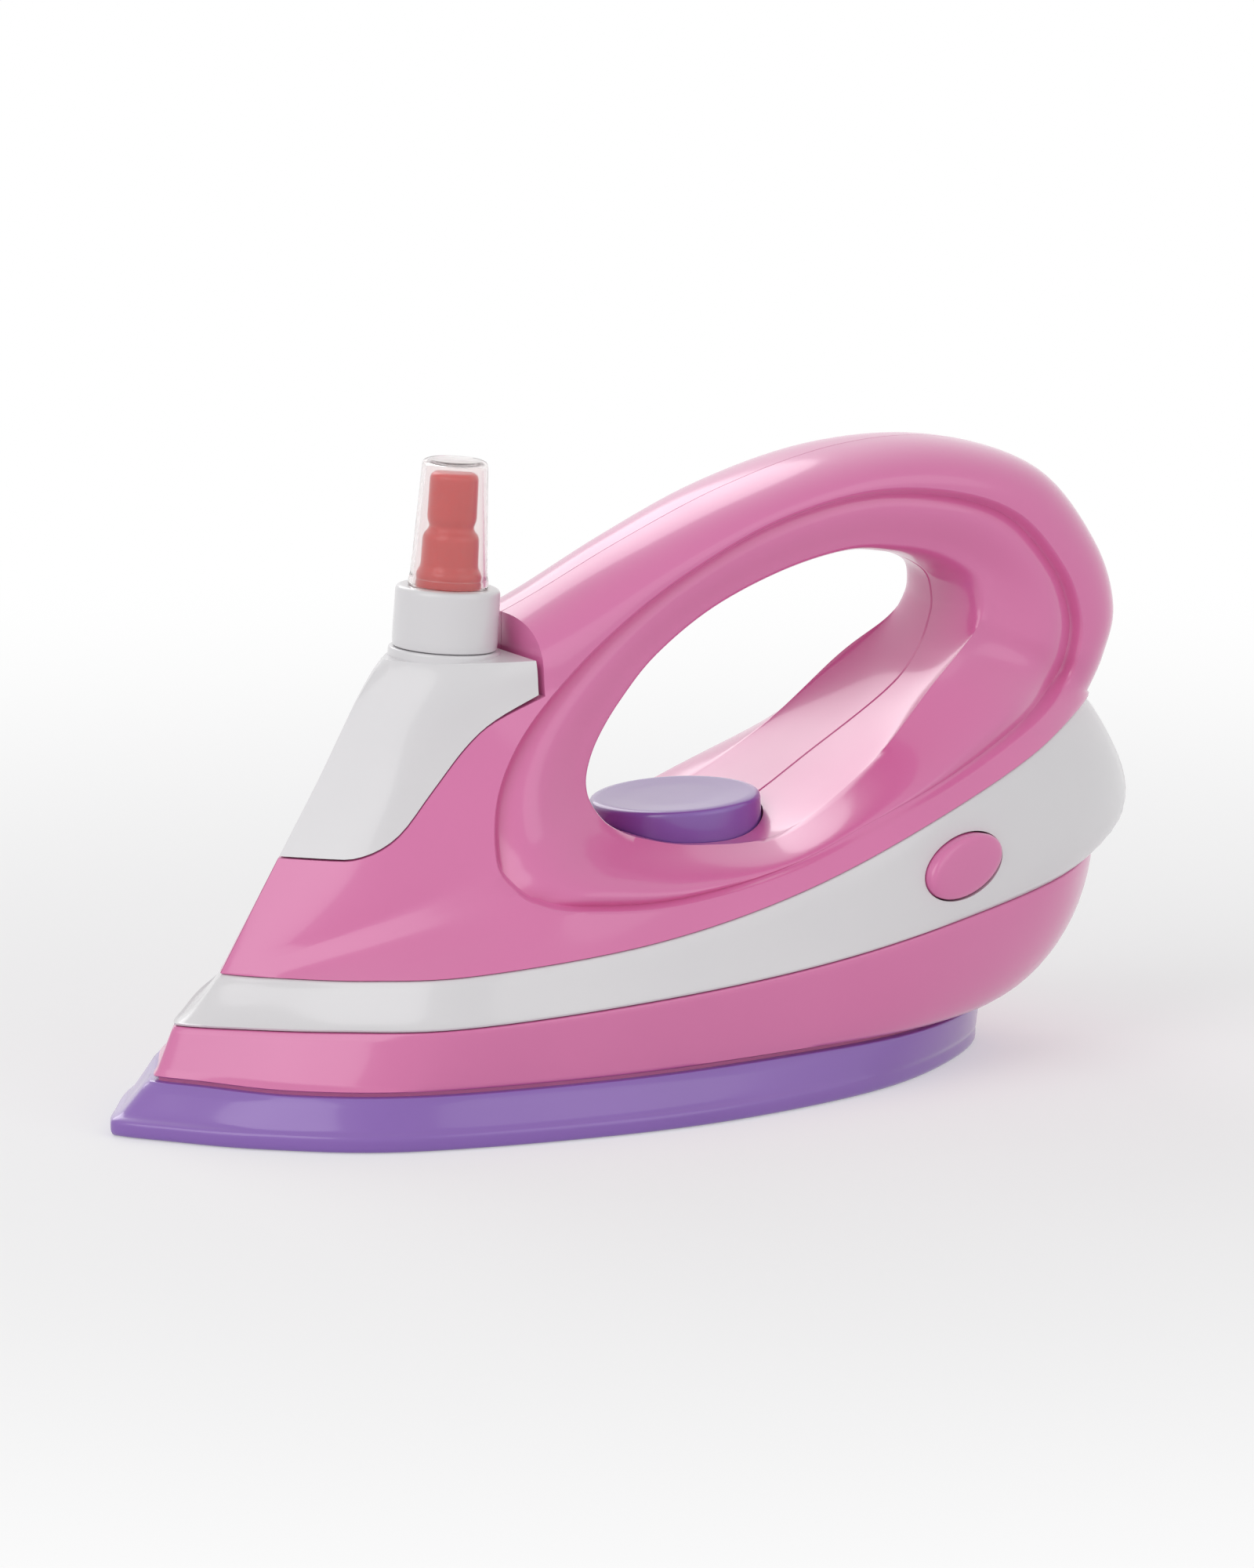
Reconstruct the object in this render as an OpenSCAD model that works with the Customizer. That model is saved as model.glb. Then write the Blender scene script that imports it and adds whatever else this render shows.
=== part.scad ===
// Toy iron with a working water spray.
// The ironing face lies on z = 0, the nose points to -X and the part is mirrored about y = 0.

/* [Overall] */
// Length from the tip of the sole to the back of the handle
overall_length = 203; // [160:1:250]
// Height of the handle's top above the ironing face
handle_height = 110.5; // [95:0.5:135]
// Width of the body at the lower edge of the band
body_width = 82; // [74:1:104]

/* [Sole] */
// Length of the sole
sole_length = 175; // [150:1:200]
// Width of the sole
sole_width = 90; // [82:1:110]
// Height of the sole
sole_height = 9; // [8:0.5:11]
// Height of the flange round the ironing face
flange_height = 3; // [2:0.5:4]
// How far the sole's top edge stands out round the skirt's foot
sole_margin = 0.9; // [0.5:0.1:2]
// Thickness of the ironing face and of the sole's wall
sole_wall = 2.5; // [1.8:0.1:3.2]

/* [Shells] */
// Wall of the lower skirt
skirt_wall = 2.4; // [1.6:0.1:3]
// Wall of the white band
band_wall = 2.4; // [1.6:0.1:3]
// How far the control line of the heel bulge stands out
heel_bulge = 15.5; // [10:0.5:20]
// Depth of the recess round the handle opening
recess_depth = 2.2; // [1.2:0.1:3]
// How far the roll round the opening stands up from the recess
roll_rise = 1.4; // [0.5:0.1:2]
// Width of the recess's sloping wall
crease_width = 1.6; // [0.8:0.1:2.5]
// Gap between neighbouring mouldings
seam_gap = 0.15; // [0.1:0.05:0.3]

/* [Tank] */
// Gap between the tank and the body's pocket
tank_clearance = 0.35; // [0.3:0.05:0.8]
// Gap behind the tank's rear face
tank_rear_gap = 1.2; // [1:0.1:2.4]
// Lean of the neck towards the heel
neck_lean = 4; // [0:0.5:6]
// Outer diameter of the sump under the neck
sump_d = 20; // [17:0.5:22]
// Depth of the sump below the shoulder
sump_depth = 33; // [30:0.5:36]
// Wall of the tank
tank_wall = 1.6; // [1:0.1:2]
// Outer diameter of the neck
neck_d = 16; // [14.5:0.1:17]
// Height of the neck above the shoulder
neck_height = 3.6; // [3:0.1:5]

/* [Pump] */
// Outer diameter of the screw collar
collar_d = 18.8; // [18.4:0.1:22]
// Thickness of the gasket
gasket_height = 0.8; // [0.5:0.1:1.2]
// Thickness of the pump's flange
flange_plate = 1; // [0.8:0.1:1.4]
// Outer diameter of the pump's barrel
barrel_d = 8.8; // [7.8:0.1:10]
// Bore of the pump's barrel
barrel_bore = 6.4; // [5.6:0.1:6.8]
// Length of the barrel below the shoulder
barrel_length = 20; // [18:0.5:22]
// Outer diameter of the pump's rod
rod_d = 3.6; // [3:0.1:4]
// Travel of the spray head
spray_travel = 4; // [3:0.5:5]
// Diameter of the spray head's foot
head_foot_d = 11.6; // [10:0.1:11.8]
// Height of the spray head
head_height = 20.5; // [19:0.5:21]
// Outer diameter of the cap's mouth
cap_d = 14.2; // [14:0.1:16]
// Outer diameter of the cap's top
cap_top_d = 11.6; // [11.2:0.1:13]
// Height of the cap
cap_height = 22.4; // [22.2:0.1:28]
// Wall of the cap
cap_wall = 0.8; // [0.6:0.1:0.9]
// Wire of the pump's spring
pump_wire = 0.6; // [0.4:0.05:0.7]

/* [Dial] */
// Diameter of the dial
dial_d = 30.8; // [26:0.2:34]
// Height of the dial above its seat
dial_height = 7; // [5:0.1:8]
// Slope of the dial's seat, rising to the heel
dial_tilt = 3; // [0:0.5:8]
// Diameter of the dial's stem
stem_d = 7; // [6:0.1:9]
// Thickness of the deck under the dial
deck_wall = 5; // [4:0.1:6]

/* [Buttons] */
// Long side of the oval button
button_length = 18; // [14:0.5:20]
// Short side of the oval button
button_width = 10.5; // [8.5:0.5:11.5]
// How far the button stands proud of the band
button_proud = 1.2; // [0.6:0.1:2]
// Travel of the button
button_travel = 2; // [1:0.25:2.5]
// Slope of the button's long side
button_slope = 15; // [0:1:30]
// Wire of the buttons' springs
button_wire = 0.5; // [0.3:0.05:0.6]

/* [Screws] */
// Diameter of the screws' shanks
shank_d = 3; // [2.5:0.1:3.5]
// Diameter of the screws' heads
screw_head_d = 5.6; // [5:0.1:6.4]
// Height of the screws' heads
screw_head_height = 2; // [1.6:0.1:2.4]

/* [Hidden] */
$fn = 48;
overrun = 1;
running_fit = 0.08;
screw_fit = 0.05;
loose_fit = 0.3;

half_width = body_width / 2;

// Lines of the sole run from the nose to the heel. Each row is a share of the sole's length and of half its
// width.
sole_plan_shares = [
    [0, 0], [0.035, 0.17], [0.105, 0.53], [0.22, 0.85], [0.44, 1], [0.62, 0.965], [0.8, 0.76],
    [0.945, 0.36], [1, 0]
];
foot_shares = [
    [0.0487, 0], [0.0766, 0.173], [0.137, 0.519], [0.252, 0.784], [0.457, 0.896], [0.64, 0.856],
    [0.818, 0.72], [0.945, 0.392], [0.992, 0]
];
// Belt lines run from the nose to the heel. Each row is a share of the overall length, of half the body's
// width and of the handle's height.
band_low_shares = [
    [0.062, 0, 0.167], [0.092, 0.2, 0.169], [0.158, 0.57, 0.176], [0.246, 0.902, 0.186],
    [0.419, 1, 0.202], [0.591, 0.983, 0.226], [0.739, 0.915, 0.265], [0.895, 0.634, 0.305],
    [0.978, 0, 0.318]
];
band_high_shares = [
    [0.108, 0, 0.243], [0.137, 0.2, 0.244], [0.192, 0.555, 0.252], [0.271, 0.83, 0.264],
    [0.433, 0.937, 0.292], [0.586, 0.917, 0.347], [0.734, 0.854, 0.438], [0.877, 0.585, 0.52],
    [0.975, 0, 0.556]
];
// How much of the heel bulge each belt line point takes
bulge_shares = [0.02, 0.03, 0.04, 0.04, 0.04, 0.05, 0.12, 0.42, 1];
// How round the skirt's profile is at each belt line point
skirt_round_shares = [0, 0, 0.2, 0.5, 0.7, 0.8, 0.9, 0.9, 0.85];
// Height of the bulge's control line between the band's edges
bulge_height_share = 0.16;

// The part is centred between the tip of the sole and the tip of the heel bulge
heel_low = band_low_shares[len(band_low_shares) - 1][0] * overall_length;
heel_high = band_high_shares[len(band_high_shares) - 1][0] * overall_length;
nose_x = -(heel_low + heel_high + heel_bulge) / 4;

// Outer line of the upper body from the heel up the handle, over its top and down the nose
crown_shares = [
    [0.988, 0, 0.615], [0.998, 0, 0.7], [0.978, 0, 0.81], [0.921, 0, 0.935], [0.828, 0, 0.994],
    [0.724, 0, 0.995], [0.611, 0, 0.947], [0.507, 0, 0.875], [0.414, 0, 0.799], [0.362, 0, 0.765],
    [0.272, 0, 0.724], [0.195, 0, 0.507]
];
// Edge of the recess round the handle opening, from under the nose along the belt and back over the handle
crease_shares = [
    [0.32, 0.549, 0.416], [0.325, 0.659, 0.378], [0.34, 0.732, 0.357], [0.374, 0.805, 0.344],
    [0.468, 0.859, 0.34], [0.591, 0.859, 0.377], [0.727, 0.805, 0.455], [0.852, 0.585, 0.532],
    [0.921, 0.354, 0.584], [0.936, 0.354, 0.638], [0.938, 0.354, 0.701], [0.919, 0.366, 0.783],
    [0.872, 0.378, 0.878], [0.805, 0.383, 0.928], [0.719, 0.378, 0.944], [0.626, 0.366, 0.912],
    [0.539, 0.354, 0.844], [0.473, 0.354, 0.774], [0.411, 0.378, 0.692], [0.36, 0.41, 0.602],
    [0.33, 0.463, 0.511]
];
// Rim of the handle opening
rim_shares = [
    [0.428, 0.39, 0.498], [0.435, 0.415, 0.468], [0.447, 0.451, 0.445], [0.473, 0.488, 0.425],
    [0.527, 0.524, 0.407], [0.611, 0.524, 0.412], [0.704, 0.476, 0.502], [0.778, 0.402, 0.617],
    [0.82, 0.341, 0.674], [0.837, 0.329, 0.71], [0.842, 0.317, 0.747], [0.835, 0.305, 0.787],
    [0.803, 0.293, 0.824], [0.761, 0.293, 0.844], [0.709, 0.293, 0.851], [0.64, 0.293, 0.828],
    [0.567, 0.293, 0.778], [0.507, 0.305, 0.71], [0.468, 0.329, 0.643], [0.442, 0.354, 0.584],
    [0.429, 0.373, 0.534]
];
// Innermost line of the opening, on the centre plane
throat_shares = [
    [0.438, 0, 0.5], [0.445, 0, 0.468], [0.457, 0, 0.442], [0.483, 0, 0.418], [0.534, 0, 0.394],
    [0.613, 0, 0.409], [0.704, 0, 0.5], [0.781, 0, 0.586], [0.81, 0, 0.643], [0.823, 0, 0.697],
    [0.825, 0, 0.733], [0.818, 0, 0.772], [0.791, 0, 0.803], [0.754, 0, 0.822], [0.707, 0, 0.83],
    [0.644, 0, 0.808], [0.574, 0, 0.76], [0.517, 0, 0.697], [0.479, 0, 0.635], [0.453, 0, 0.581],
    [0.441, 0, 0.537]
];
// How square the roll from the outer line to the crease is, at each of the same places
roll_powers = [
    1.3, 1.15, 1.05, 1, 1, 1, 1, 1.2, 1.8, 2, 2.2, 2.2, 2.2, 2.2, 2.2, 2.2, 2.2, 2.2, 2.6, 2.2, 1.7
];
// Ridge that climbs from the prow's foot to the tank, as shares of the way from the outer line to the crease
// and of its depth there, with the share by which the ridge takes the roll's place
ridge_shares = concat(
    [[0, 0, 1]],
    [for (i = [1:len(crease_shares) - 3]) [0, 0, 0]],
    [[0.42, 0.74, 0], [0.42, 0.74, 1]]
);
ridge_weight = 3;
skirt_step_shares = [0, 0.2, 0.4, 0.6, 0.8, 1];
skirt_inner_shares = [1, 0.7, 0.4];
band_step_shares = [0, 0.25, 0.5, 0.75, 1];
band_inner_shares = [1, 0.75, 0.5, 0.25, 0];
roll_step_shares = [0, 0.08, 0.22, 0.4, 0.58, 0.78, 1];
floor_step_shares = [0.12, 0.3, 0.5, 0.75, 1];
floor_crest_share = 0.33;
floor_power = 1.6;
rim_steps = 5;
stations_per_key = 3;
belt_per_key = 5;
parting_overlap = 1;

// Side view of the tank's underside, from the front of the nose to the rear face
tank_floor_shares = [
    [0.1, 0.42], [0.187, 0.423], [0.217, 0.429], [0.248, 0.462], [0.281, 0.529], [0.313, 0.595],
    [0.34, 0.633]
];
tank_corner_share = 0.668;
tank_rear_share = 0.382;
shoulder_share = 0.722;
neck_x_share = 0.331;
chamber_shares = [
    [0.241, 0.5], [0.276, 0.566], [0.305, 0.625], [0.335, 0.66], [0.335, 0.695], [0.296, 0.695],
    [0.249, 0.561]
];
chamber_half_share = 0.146;

// Places of the screws: those of the sole and of the posts as shares of the sole's length and of half the
// body's width, with the height to which a post reaches, and those of the body as shares of length and height
sole_screw_shares = [[0.217, 0.39], [0.789, 0.39]];
post_shares = [[0.36, 0.5, 0.33], [0.742, 0.46, 0.4]];
body_screw_shares = [[0.438, 0.665], [0.888, 0.724], [0.72, 0.9], [0.27, 0.34]];

// Places of the dial and of the buttons
dial_x_share = 0.564;
dial_z_share = 0.388;
button_along_share = 0.763;
button_height_share = 0.63;

pink = "#d884b0";
white = "#f2f0f2";
purple = "#8a5cb8";
red = "#d8564c";
clear = "#f4dcdc80";
steel = "#b8bcc2";
natural = "#e8e6e0";

// Splines and meshes

function mix(a, b, s) = a + (b - a) * s;
function spline(a, b, c, d, s) =
    b + (c - a) * s / 2 + (a * 2 - b * 5 + c * 4 - d) * s * s / 2 + (b * 3 - a - c * 3 + d) * s * s * s / 2;
function wrapped(keys, i) = keys[(i + len(keys)) % len(keys)];
function closed_at(keys, u) =
    let (i = floor(u), s = u - i)
    spline(wrapped(keys, i - 1), wrapped(keys, i), wrapped(keys, i + 1), wrapped(keys, i + 2), s);
function open_at(keys, u) =
    let (i = floor(u), last = len(keys) - 1)
    spline(keys[max(i - 1, 0)], keys[i], keys[min(i + 1, last)], keys[min(i + 2, last)], u - i);
function closed_curve(keys, per) = [for (i = [0:len(keys) * per - 1]) closed_at(keys, i / per)];

// Closes a belt line by its mirror image, near side first
function both_sides(keys) =
    let (last = len(keys) - 1)
    concat(
        [for (k = keys) [k[0], -k[1], k[2]]],
        [for (i = [last - 1:-1:1]) keys[i]]
    );
function both_values(values) =
    concat(values, [for (i = [len(values) - 2:-1:1]) values[i]]);

function placed(share) =
    [nose_x + share[0] * overall_length, share[1] * half_width, share[2] * handle_height];
function unit(v) = v / norm(v);
function flat_normal(loop, i) =
    let (d = wrapped(loop, i + 1) - wrapped(loop, i - 1))
    unit([d[1], -d[0], 0]);
function grown(loop, by) = [for (i = [0:len(loop) - 1]) loop[i] + flat_normal(loop, i) * by];
function lifted(loop, by) = [for (p = loop) [p[0], p[1], p[2] + by]];
function levelled(loop, z) = [for (p = loop) [p[0], p[1], z]];

function wall_faces(rows, n, wrap) = [
    for (r = [0:rows - (wrap ? 1 : 2)], i = [0:n - 1])
    let (low = r * n, high = (r + 1) % rows * n, next = (i + 1) % n)
    each [[low + i, high + i, high + next], [low + i, high + next, low + next]]
];

// Solid whose rows of equal count climb the outside and may come down inside, with a flat first and last row
module stacked(rows) {
    n = len(rows[0]);
    last = (len(rows) - 1) * n;
    polyhedron(
        [for (row = rows) each row],
        concat(
            wall_faces(len(rows), n, false),
            [[for (i = [0:n - 1]) i], [for (i = [n - 1:-1:0]) last + i]]
        )
    );
}

// Ring whose rows of equal count run round its section
module ringed(rows) {
    polyhedron([for (row = rows) each row], wall_faces(len(rows), len(rows[0]), true));
}

// Belt lines

sole_loop = closed_curve(
    both_sides([for (s = sole_plan_shares) [nose_x + s[0] * sole_length, s[1] * sole_width / 2, 0]]),
    belt_per_key
);
foot_loop = closed_curve(
    both_sides([for (s = foot_shares) [nose_x + s[0] * sole_length, s[1] * sole_width / 2, sole_height]]),
    belt_per_key
);
sole_top_loop = grown(foot_loop, sole_margin);
band_low_keys = both_sides([for (s = band_low_shares) placed(s)]);
band_high_keys = both_sides([for (s = band_high_shares) placed(s)]);
band_low_loop = closed_curve(band_low_keys, belt_per_key);
band_high_loop = closed_curve(band_high_keys, belt_per_key);
bulge_values = closed_curve(both_values(bulge_shares), belt_per_key);
round_values = closed_curve(both_values(skirt_round_shares), belt_per_key);

function sole_row(inset, rise) = [
    for (i = [0:len(sole_loop) - 1])
    let (p = mix(sole_loop[i], sole_top_loop[i], inset))
    [p[0], p[1], mix(flange_height, sole_height, rise)]
];
function skirt_row(s) = [
    for (i = [0:len(foot_loop) - 1])
    let (
        w = round_values[i],
        across = mix(s, sin(90 * s), w),
        up = mix(s, 1 - cos(90 * s), w),
        a = foot_loop[i],
        b = band_low_loop[i]
    )
    [mix(a[0], b[0], across), mix(a[1], b[1], across), mix(a[2], b[2] - seam_gap, up)]
];
function bulge_point(a, b, out, s) =
    let (
        middle = mix(a, b, 0.5),
        knee = [middle[0], middle[1], mix(a[2], b[2], bulge_height_share)] + out
    )
    mix(mix(a, knee, s), mix(knee, b, s), s);
function band_row(s) = [
    for (i = [0:len(band_low_loop) - 1])
    bulge_point(
        band_low_loop[i], band_high_loop[i] - [0, 0, seam_gap],
        flat_normal(band_low_loop, i) * bulge_values[i] * heel_bulge, s
    )
];
function band_at(u, s) =
    let (
        a = closed_at(band_low_keys, u),
        b = closed_at(band_high_keys, u),
        d = closed_at(band_low_keys, u + 1 / belt_per_key) - closed_at(band_low_keys, u - 1 / belt_per_key),
        bulge = closed_at(both_values(bulge_shares), u) * heel_bulge
    )
    bulge_point(a, b, unit([d[1], -d[0], 0]) * bulge, s);

// Upper body: a loft round the handle opening

heel_key = len(band_high_shares) - 1;
rise_keys = concat(
    [band_high_keys[heel_key]],
    [for (s = crown_shares) placed(s)],
    [band_high_keys[0]]
);
function near(shares) = [for (s = shares) placed([s[0], -s[1], s[2]])];
outer_line = concat(
    [for (i = [0:heel_key * stations_per_key - 1]) closed_at(band_high_keys, i / stations_per_key)],
    [for (i = [0:(len(rise_keys) - 1) * stations_per_key - 1]) open_at(rise_keys, i / stations_per_key)]
);
crease_line = closed_curve(near(crease_shares), stations_per_key);
rim_line = closed_curve(near(rim_shares), stations_per_key);
throat_line = closed_curve(near(throat_shares), stations_per_key);
power_line = closed_curve(roll_powers, stations_per_key);
ridge_line = closed_curve(ridge_shares, stations_per_key);

function roll_point(o, c, power, s) =
    [mix(o[0], c[0], s), mix(o[1], c[1], pow(1 - pow(1 - s, power), 1 / power)), mix(o[2], c[2], s)];
function ridge_point(o, c, ridge, s) =
    let (
        knee = [mix(o[0], c[0], ridge[0]), mix(o[1], c[1], ridge[1]), mix(o[2], c[2], ridge[0])],
        a = (1 - s) * (1 - s),
        b = 2 * s * (1 - s) * ridge_weight
    )
    (o * a + knee * b + c * s * s) / (a + b + s * s);
function side_point(i, s) = mix(
    roll_point(outer_line[i], crease_line[i], power_line[i], s),
    ridge_point(outer_line[i], crease_line[i], ridge_line[i], s),
    max(0, min(1, ridge_line[i][2]))
);
function inward(c, r) = unit([r[0] - c[0], 0, r[2] - c[2]]) * crease_width + [0, recess_depth, 0];
function crest(s) = s < floor_crest_share
    ? sin(90 * s / floor_crest_share)
    : pow(cos(90 * (s - floor_crest_share) / (1 - floor_crest_share)), 2);
function floor_point(f, r, s) =
    [mix(f[0], r[0], s), mix(f[1], r[1], pow(s, floor_power)) - roll_rise * crest(s), mix(f[2], r[2], s)];
function rim_point(r, t, s) =
    [mix(r[0], t[0], sin(90 * s)), r[1] * cos(90 * s), mix(r[2], t[2], sin(90 * s))];

body_stations = [0:len(outer_line) - 1];
body_rows = concat(
    [for (s = roll_step_shares) [for (i = body_stations) side_point(i, s)]],
    [[for (i = body_stations) crease_line[i] + inward(crease_line[i], rim_line[i])]],
    [for (s = floor_step_shares) [
        for (i = body_stations)
        floor_point(crease_line[i] + inward(crease_line[i], rim_line[i]), rim_line[i], s)
    ]],
    [for (k = [1:rim_steps]) [for (i = body_stations) rim_point(rim_line[i], throat_line[i], k / rim_steps)]],
    [[for (i = body_stations) [throat_line[i][0], parting_overlap, throat_line[i][2]]]],
    [[for (i = body_stations) [outer_line[i][0], parting_overlap, outer_line[i][2]]]]
);

// One side of the upper body, a little past the centre plane
module body_side() {
    ringed(body_rows);
}

// Tank and pump frame

seat_step = 1;
shoulder_z = shoulder_share * handle_height;
neck_x = nose_x + neck_x_share * overall_length;
tank_rear_x = nose_x + tank_rear_share * overall_length;

module on_neck() {
    translate([neck_x, 0, shoulder_z + seat_step]) rotate([0, neck_lean, 0]) children();
}

// Side view of the tank, let out by a gap below and behind, up to a given height
function tank_outline(gap, rear, top) = concat(
    [for (s = tank_floor_shares) [nose_x + s[0] * overall_length, s[1] * handle_height - gap]],
    [
        [tank_rear_x + rear, tank_corner_share * handle_height - gap],
        [tank_rear_x + rear, top],
        [nose_x, top],
        [nose_x, tank_floor_shares[0][1] * handle_height - gap]
    ]
);
module tank_block(gap, rear, top) {
    rotate([90, 0, 0]) linear_extrude(body_width, center = true) polygon(tank_outline(gap, rear, top));
}

// Heights along the neck's axis, from the seat of the collar
seat_margin = 0.6;
gasket_z = neck_height;
flange_z = gasket_z + gasket_height;
ledge_z = flange_z + flange_plate + screw_fit;
ledge_height = 1;
well_z = ledge_z + ledge_height;
well_margin = 0.4;
collar_height = well_z + spray_travel + well_margin + seam_gap;
thread_gap = 0.15;
collar_edge = 0.8;
barrel_floor = 2;
nipple_length = 5;
nipple_d = 4.6;
inlet_d = 1.8;
tube_d = 3;
tube_bore = 1.8;
tube_foot_gap = 0.8;
ball_d = 2.8;
piston_height = 4;
rod_bore = 1.6;
rod_socket = 9;
spring_d = 5;
spring_turns = 6;
foot_z = collar_height - seam_gap;
foot_height = 2.6;
head_shaft_d = 9.4;
head_waist_d = 7.4;
head_d = 8.2;
waist_share = 0.52;
head_round = 1.2;
nozzle_share = 0.76;
nozzle_d = 3;
nozzle_length = 2;
orifice_d = 0.8;
bore_floor_z = barrel_floor - barrel_length;
piston_top_z = flange_z + flange_plate - loose_fit;
sump_bore_d = sump_d - 2 * tank_wall;
sump_floor_z = tank_wall - sump_depth;

// Frame of the dial, on its seat
dial_x = nose_x + dial_x_share * overall_length;
dial_z = dial_z_share * handle_height;
dial_edge = 1;
washer_d = 12;
washer_height = 1;
dial_screw_d = 2.4;
dial_screw_depth = 8;
stem_end_z = -deck_wall - loose_fit;
module on_dial() {
    translate([dial_x, 0, dial_z]) rotate([0, -dial_tilt, 0]) children();
}

// Frame of the left button: x along the band, y up, z out of the band
button_key = button_along_share * heel_key;
button_spot = band_at(button_key, button_height_share);
button_run =
    closed_at(band_low_keys, button_key + 1 / belt_per_key)
    - closed_at(band_low_keys, button_key - 1 / belt_per_key);
button_turn = atan2(button_run[1], button_run[0]);
button_set_back = 4.6;
button_flange = 1.4;
button_lip = 1.2;
button_edge = 0.8;
button_sides = 36;
button_stem_d = 3;
button_stem_length = 4;
button_spring_d = 5;
stem_margin = 2;
button_spring_length = button_stem_length + button_travel + stem_margin;
button_spring_turns = 5;
tower_wall = 4;
tower_width = 12;
tower_top = 5;
flange_back_z = -button_set_back - button_flange;
tower_z = flange_back_z - button_spring_length;
module on_button() {
    translate(button_spot) rotate([0, 0, button_turn]) rotate([90, 0, 0]) children();
}
function oval(length, width, z) = [
    for (i = [0:button_sides - 1])
    let (a = 360 * i / button_sides, c = cos(a) * length / 2, s = sin(a) * width / 2)
    [c * cos(button_slope) - s * sin(button_slope), c * sin(button_slope) + s * cos(button_slope), z]
];
module oval_prism(length, width, low, high) {
    translate([0, 0, low]) linear_extrude(high - low)
        polygon([for (p = oval(length, width, 0)) [p[0], p[1]]]);
}

// Coil spring as one tube of six sides, eight rings to a turn
coil_rings = 8;
coil_sides = 6;
function coil_path(d, low, high, turns) = [
    for (i = [0:turns * coil_rings])
    let (a = 360 * i / coil_rings)
    [cos(a) * d / 2, sin(a) * d / 2, mix(low, high, i / (turns * coil_rings))]
];
function coil_gap(path, wire) = min([
    for (i = [0:len(path) - 1], j = [i + coil_rings - 2:1:len(path) - 1]) norm(path[j] - path[i]) - wire
]);
module coil(path, wire) {
    stacked([
        for (p = path)
        let (out = unit([p[0], p[1], 0]))
        [for (k = [0:coil_sides - 1])
            let (b = -360 * k / coil_sides)
            p + (out * cos(b) + [0, 0, 1] * sin(b)) * wire / 2]
    ]);
}
pump_path = coil_path(
    spring_d, bore_floor_z + pump_wire, piston_top_z - piston_height - pump_wire, spring_turns
);
button_path = coil_path(
    button_spring_d, tower_z + button_wire, flange_back_z - button_wire, button_spring_turns
);
echo(pump_spring_gap = coil_gap(pump_path, pump_wire));
echo(button_spring_gap = coil_gap(button_path, button_wire));
echo(neck_seat = [neck_x, shoulder_z + seat_step], collar_height = collar_height);
echo(dial_seat = [dial_x, dial_z], button_spot = button_spot, button_turn = button_turn);

// Screws: the head's underside lies on z = 0 and the shank points up
screw_edge = 0.5;
module screw(d, length, head_d, head_height) {
    rotate_extrude() polygon([
        [0, -head_height],
        [head_d / 2 - screw_edge, -head_height],
        [head_d / 2, -head_height + screw_edge],
        [head_d / 2, 0],
        [d / 2, 0],
        [d / 2, length - screw_edge],
        [d / 2 - screw_edge, length],
        [0, length]
    ]);
}
function screw_spots(shares) = [
    for (s = shares, side = [-1, 1]) [nose_x + s[0] * sole_length, side * s[1] * half_width, 0]
];
sole_screw_spots = screw_spots(sole_screw_shares);
post_spots = screw_spots(post_shares);
pilot_d = shank_d + 2 * screw_fit;
clear_d = shank_d + 2 * loose_fit;
sink_d = screw_head_d + 2 * loose_fit;
sole_seat_z = 3.5;
sole_boss_d = 9;
skirt_boss_d = 7.2;
skirt_boss_height = 9;
sole_screw_length = 13.5;
post_d = 8;
post_screw_length = 12;
post_sink = 3;
skirt_floor_z = sole_height + skirt_wall;
body_seat_y = 5;
body_screw_length = 12;
post_pilot_depth = post_screw_length - skirt_wall + screw_edge;

// The screws that close the body halves enter from the far side
module at_body_screws() {
    for (s = body_screw_shares)
        translate([nose_x + s[0] * overall_length, body_seat_y, s[1] * handle_height])
            rotate([90, 0, 0]) children();
}

flange_round = 0.8;
ledge_inset_share = 0.3;
ledge_rise_share = 0.12;

// Sole

module soleplate() color(purple) difference() {
    union() {
        stacked([
            grown(sole_loop, -flange_round),
            lifted(sole_loop, flange_round),
            lifted(sole_loop, flange_height),
            sole_row(ledge_inset_share, ledge_rise_share),
            sole_top_loop,
            grown(sole_top_loop, -sole_wall),
            levelled(grown(sole_top_loop, -sole_wall), sole_wall)
        ]);
        for (p = sole_screw_spots)
            translate(p + [0, 0, sole_wall - overrun])
                cylinder(d = sole_boss_d, h = sole_height - sole_wall + overrun);
    }
    for (p = sole_screw_spots) {
        translate(p - [0, 0, overrun]) cylinder(d = sink_d, h = sole_seat_z + overrun);
        translate(p) cylinder(d = clear_d, h = sole_height + overrun);
    }
}

// Skirt, with the screw bosses, the holes for the post screws and the seats of the button springs

module lower_skirt() color(pink) difference() {
    union() {
        stacked(concat(
            [for (s = skirt_step_shares) skirt_row(s)],
            [for (s = skirt_inner_shares) lifted(grown(skirt_row(s), -skirt_wall), skirt_wall * (1 - s))],
            [levelled(grown(foot_loop, -skirt_wall), skirt_floor_z)]
        ));
        for (p = sole_screw_spots)
            translate(p + [0, 0, skirt_floor_z - overrun])
                cylinder(d = skirt_boss_d, h = skirt_boss_height - skirt_wall + overrun);
        for (side = [0, 1]) mirror([0, side, 0]) on_button()
            translate([-tower_width / 2, skirt_floor_z - overrun - button_spot[2], tower_z - tower_wall])
                cube([tower_width, button_spot[2] - skirt_floor_z + overrun + tower_top, tower_wall]);
    }
    for (p = sole_screw_spots)
        translate(p + [0, 0, sole_height - overrun])
            cylinder(d = pilot_d, h = skirt_boss_height - screw_edge + overrun);
    for (p = post_spots)
        translate(p + [0, 0, sole_height - overrun]) cylinder(d = clear_d, h = skirt_wall + 2 * overrun);
}

// Band, with its two oval windows

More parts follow.
